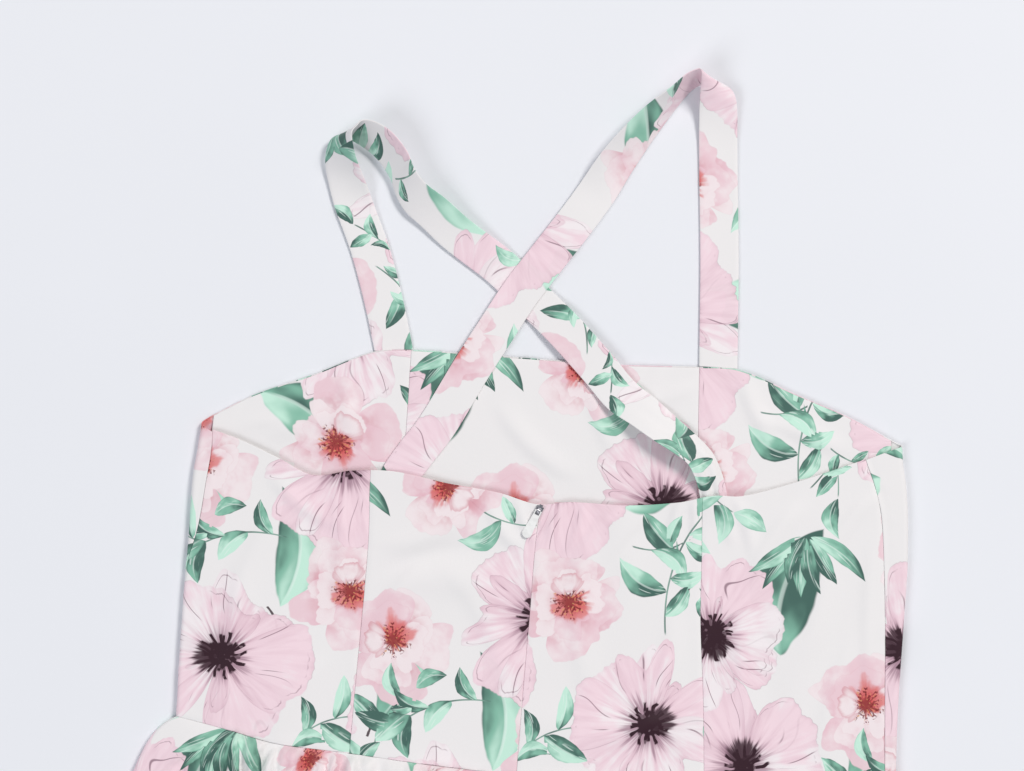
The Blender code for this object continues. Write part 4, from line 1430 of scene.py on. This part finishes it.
def draw_peony(tree, under):
    """A cupped rose-like flower: three rounds of petals about a coral heart with stamens."""
    x, y, seed = chart(tree, "peonies")
    radius, to_x, to_y = polar(x, y)
    ruffle = to_x.noise(to_y, seed * 29, scale=2.8, detail=2)
    wash = x.noise(y, seed * 44, scale=2.2, detail=3)
    turn = y.math("ARCTAN2", x) * (0.5 / math.pi) + 1
    colour = under
    for count, phase, reach, dip in ((4, 0.0, 0.98, 0.42), (3, 0.4, 0.80, 0.40), (3, 0.8, 0.60, 0.3)):
        across, chanced = petals(x, y, seed, (to_x, to_y), count, phase)
        edge = reach * (0.94 + chanced * 0.14) - across.power(2.4) * dip + (ruffle - 0.5) * 0.3
        inside = edge - radius
        tint = (wash + chanced * 0.4 - 0.2).ease(0.34, 0.70) * 0.8 + across.ease(0.5, 0.9) * 0.35
        petal = tint.blend(PEONY_PALE, PEONY_PINK)
        rose = inside.ease(0.03, 0.0) * 0.3 + (reach - radius).ease(0.15, 0.5) * wash.ease(0.38, 0.6) * 0.75
        petal = rose.blend(petal, PEONY_ROSE)
        colour = (inside.ease(0.0, 0.03) * 0.95).blend(colour, petal)
    beside, shifted = x - 0.05, y + 0.05
    heart_radius = (beside * beside + shifted * shifted * 1.4 + 1e-5).power(0.5)
    streak = to_x.noise(to_y, seed * 15 + radius * 0.3, scale=4.5, detail=2)
    washed = (0.35 + (wash - 0.5) * 0.8 + (ruffle - 0.5) * 0.4 - heart_radius).ease(0.0, 0.15) * 0.92
    coral = (wash * 0.8 + heart_radius * 1.3).ease(0.5, 0.95).blend(CORAL, APRICOT)
    colour = washed.blend(colour, coral)
    away, own, _ = strokes(turn + (streak - 0.5) * 0.08, radius, seed, 26)
    tip = own * 0.14 + 0.10
    stamen = away.ease(0.016, 0.006) * (tip - radius).ease(-0.01, 0.01)
    colour = (stamen * 0.7).blend(colour, STAMEN)
    seeds = x.noise(y, seed * 21, scale=24, detail=0)
    ring = (radius - tip).size().ease(0.10, 0.04)
    colour = (seeds.ease(0.54, 0.60) * ring * 0.85).blend(colour, STAMEN)
    colour = (seeds.ease(0.40, 0.35) * ring * 0.7).blend(colour, POLLEN)
    cup_x, cup_y = x - 0.06, y - 0.30
    cup = 0.22 + (ruffle - 0.5) * 0.3 - (cup_x * cup_x * 0.7 + cup_y * cup_y * 1.6 + 1e-5).power(0.5)
    cup_tint = cup.ease(0.10, 0.0) * 0.6 + wash.ease(0.45, 0.75) * 0.35
    cup_tone = cup_tint.blend(PEONY_PALE, PEONY_ROSE)
    return (cup.ease(0.0, 0.02) * 0.96).blend(colour, cup_tone)


def new_material(name):
    """A material with its shader and the three measures of a place on the object."""
    made = bpy.data.materials.new(name)
    made.use_nodes = True
    tree = made.node_tree
    place = tree.nodes.new("ShaderNodeTexCoord")
    split = tree.nodes.new("ShaderNodeSeparateXYZ")
    tree.links.new(place.outputs["Object"], split.inputs[0])
    return made, tree.nodes["Principled BSDF"], [Number(tree, split.outputs[k]) for k in range(3)]


def add_grain(shader, height, strength, distance):
    """Shades a surface as if it had a fine relief."""
    node = height.tree.nodes.new("ShaderNodeBump")
    node.inputs["Strength"].default_value = strength
    node.inputs["Distance"].default_value = distance
    height.into(node, "Height")
    Number(height.tree, node.outputs["Normal"]).into(shader, "Normal")


def cloth_material(name):
    """Smooth white cloth with the watercolour print, a fine weave and a soft sheen."""
    made, shader, (x, y, z) = new_material(name)
    tree = x.tree
    damp = x.noise(y, z, scale=14, detail=2)
    colour = (damp.ease(0.5, 0.8) * 0.3).blend(WHITE_CLOTH, PETAL_WHITE)
    colour = draw_leaf(tree, "big_leaves", colour, 0.0)
    colour = draw_stems(tree, colour)
    colour = draw_anemone(tree, "low_anemones", colour)
    colour = draw_anemone(tree, "anemones", colour)
    colour = draw_peony(tree, colour)
    colour = draw_leaf(tree, "leaves", colour)
    colour = draw_leaf(tree, "top_leaves", colour)
    colour.into(shader, "Base Color")
    shader.inputs["Roughness"].default_value = 0.58
    shader.inputs["Specular IOR Level"].default_value = 0.32
    shader.inputs["Sheen Weight"].default_value = 0.12
    shader.inputs["Sheen Roughness"].default_value = 0.4
    weave = x.noise(y * 0.35, z, scale=2600, detail=0) + (x * 0.35).noise(y, z, scale=2600, detail=0)
    slub = x.noise(y, z, scale=260, detail=2)
    add_grain(shader, weave * 0.5 + slub, 0.22, 0.00025)
    return made


def plain_material(name, colour, other, scale, roughness, metallic=0.0, bump_scale=0.0):
    """A plain finish whose colour drifts between two near tones, with a fine grain."""
    made, shader, (x, y, z) = new_material(name)
    drift = x.noise(y, z, scale=scale, detail=3)
    drift.ease(0.35, 0.65).blend(colour, other).into(shader, "Base Color")
    shader.inputs["Metallic"].default_value = metallic
    (drift * 0.2 + (roughness - 0.1)).into(shader, "Roughness")
    if bump_scale:
        add_grain(shader, x.noise(y, z, scale=bump_scale, detail=1), 0.3, 0.0001)
    return made


def finish_slider(nodes):
    """Better finishes for the metal slider and its enamelled tab, whose solids stay."""
    steel = plain_material(
        "slider_steel_worn", (0.62, 0.62, 0.64), (0.80, 0.80, 0.82), 900, 0.30, 1.0, 2500
    )
    enamel = plain_material(
        "pull_enamel_white", (0.93, 0.93, 0.925), (0.97, 0.97, 0.965), 300, 0.34, 0.0, 900
    )
    for node, finish in (("zip_slider", steel), ("zip_pull", enamel)):
        nodes[node].data.materials.clear()
        nodes[node].data.materials.append(finish)


def add_stage():
    """A plain pale floor, a pale world, two broad soft lights and the camera."""
    half = FLOOR_SIZE / 2
    corners = [(x * half, y * half, -FLOOR_GAP) for x, y in ((-1, -1), (1, -1), (1, 1), (-1, 1))]
    mesh = bpy.data.meshes.new("floor")
    mesh.from_pydata(corners, [], [(0, 1, 2, 3)])
    floor = bpy.data.objects.new("floor", mesh)
    bpy.context.scene.collection.objects.link(floor)
    tint = tuple(c * 0.995 for c in FLOOR_COLOUR)
    floor.data.materials.append(plain_material("pale_floor", FLOOR_COLOUR, tint, 3, 0.8))

    world = bpy.data.worlds.new("soft_studio")
    world.use_nodes = True
    background = world.node_tree.nodes["Background"]
    background.inputs["Color"].default_value = (*WORLD_COLOUR, 1)
    background.inputs["Strength"].default_value = WORLD_STRENGTH
    bpy.context.scene.world = world

    for name, lamp in LAMPS.items():
        light = bpy.data.lights.new(name, "AREA")
        light.shape = "DISK"
        light.size = lamp.size
        light.energy = lamp.energy
        light.color = lamp.colour
        made = bpy.data.objects.new(name, light)
        made.location = lamp.place
        direction = np.array(LAMPS_AIM) - np.array(lamp.place)
        made.rotation_euler = (
            math.atan2(math.hypot(direction[0], direction[1]), -direction[2]),
            0,
            math.atan2(direction[1], direction[0]) - math.pi / 2,
        )
        bpy.context.scene.collection.objects.link(made)

    camera = bpy.data.objects.new("camera", bpy.data.cameras.new("camera"))
    camera.data.lens = CAMERA_LENS
    camera.location = CAMERA_PLACE
    camera.rotation_euler = (0, 0, math.radians(CAMERA_TURN))
    bpy.context.scene.collection.objects.link(camera)
    bpy.context.scene.camera = camera
    bpy.context.scene.view_settings.view_transform = "Standard"


def main():
    for old in list(bpy.data.objects):
        bpy.data.objects.remove(old)
    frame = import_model()
    finish = {
        slot: cloth_material(slot + "_print")
        for slot in ("floral_cloth", "floral_facing", "floral_strap", "floral_skirt")
    }
    add_bodice(finish["floral_cloth"])
    add_facings(finish["floral_facing"])
    add_strap("strap_left", LEFT_STRAP, STRAP_FOOT_LEFT, finish["floral_strap"])
    add_strap(
        "strap_right", RIGHT_STRAP, STRAP_FOOT_RIGHT,
        finish["floral_strap"],
    )
    thread = plain_material("white_thread", (0.90, 0.90, 0.89), (0.95, 0.95, 0.94), 900, 0.6, 0.0, 3000)
    skirt_piece("front", finish["floral_skirt"], thread)
    skirt_piece("back", finish["floral_skirt"], thread)
    tape = plain_material("woven_tape", (0.90, 0.90, 0.90), (0.94, 0.94, 0.94), 500, 0.7, 0.0, 1800)
    add_tape(tape)
    add_chain(tape)
    finish_slider(frame["nodes"])
    add_stage()


main()
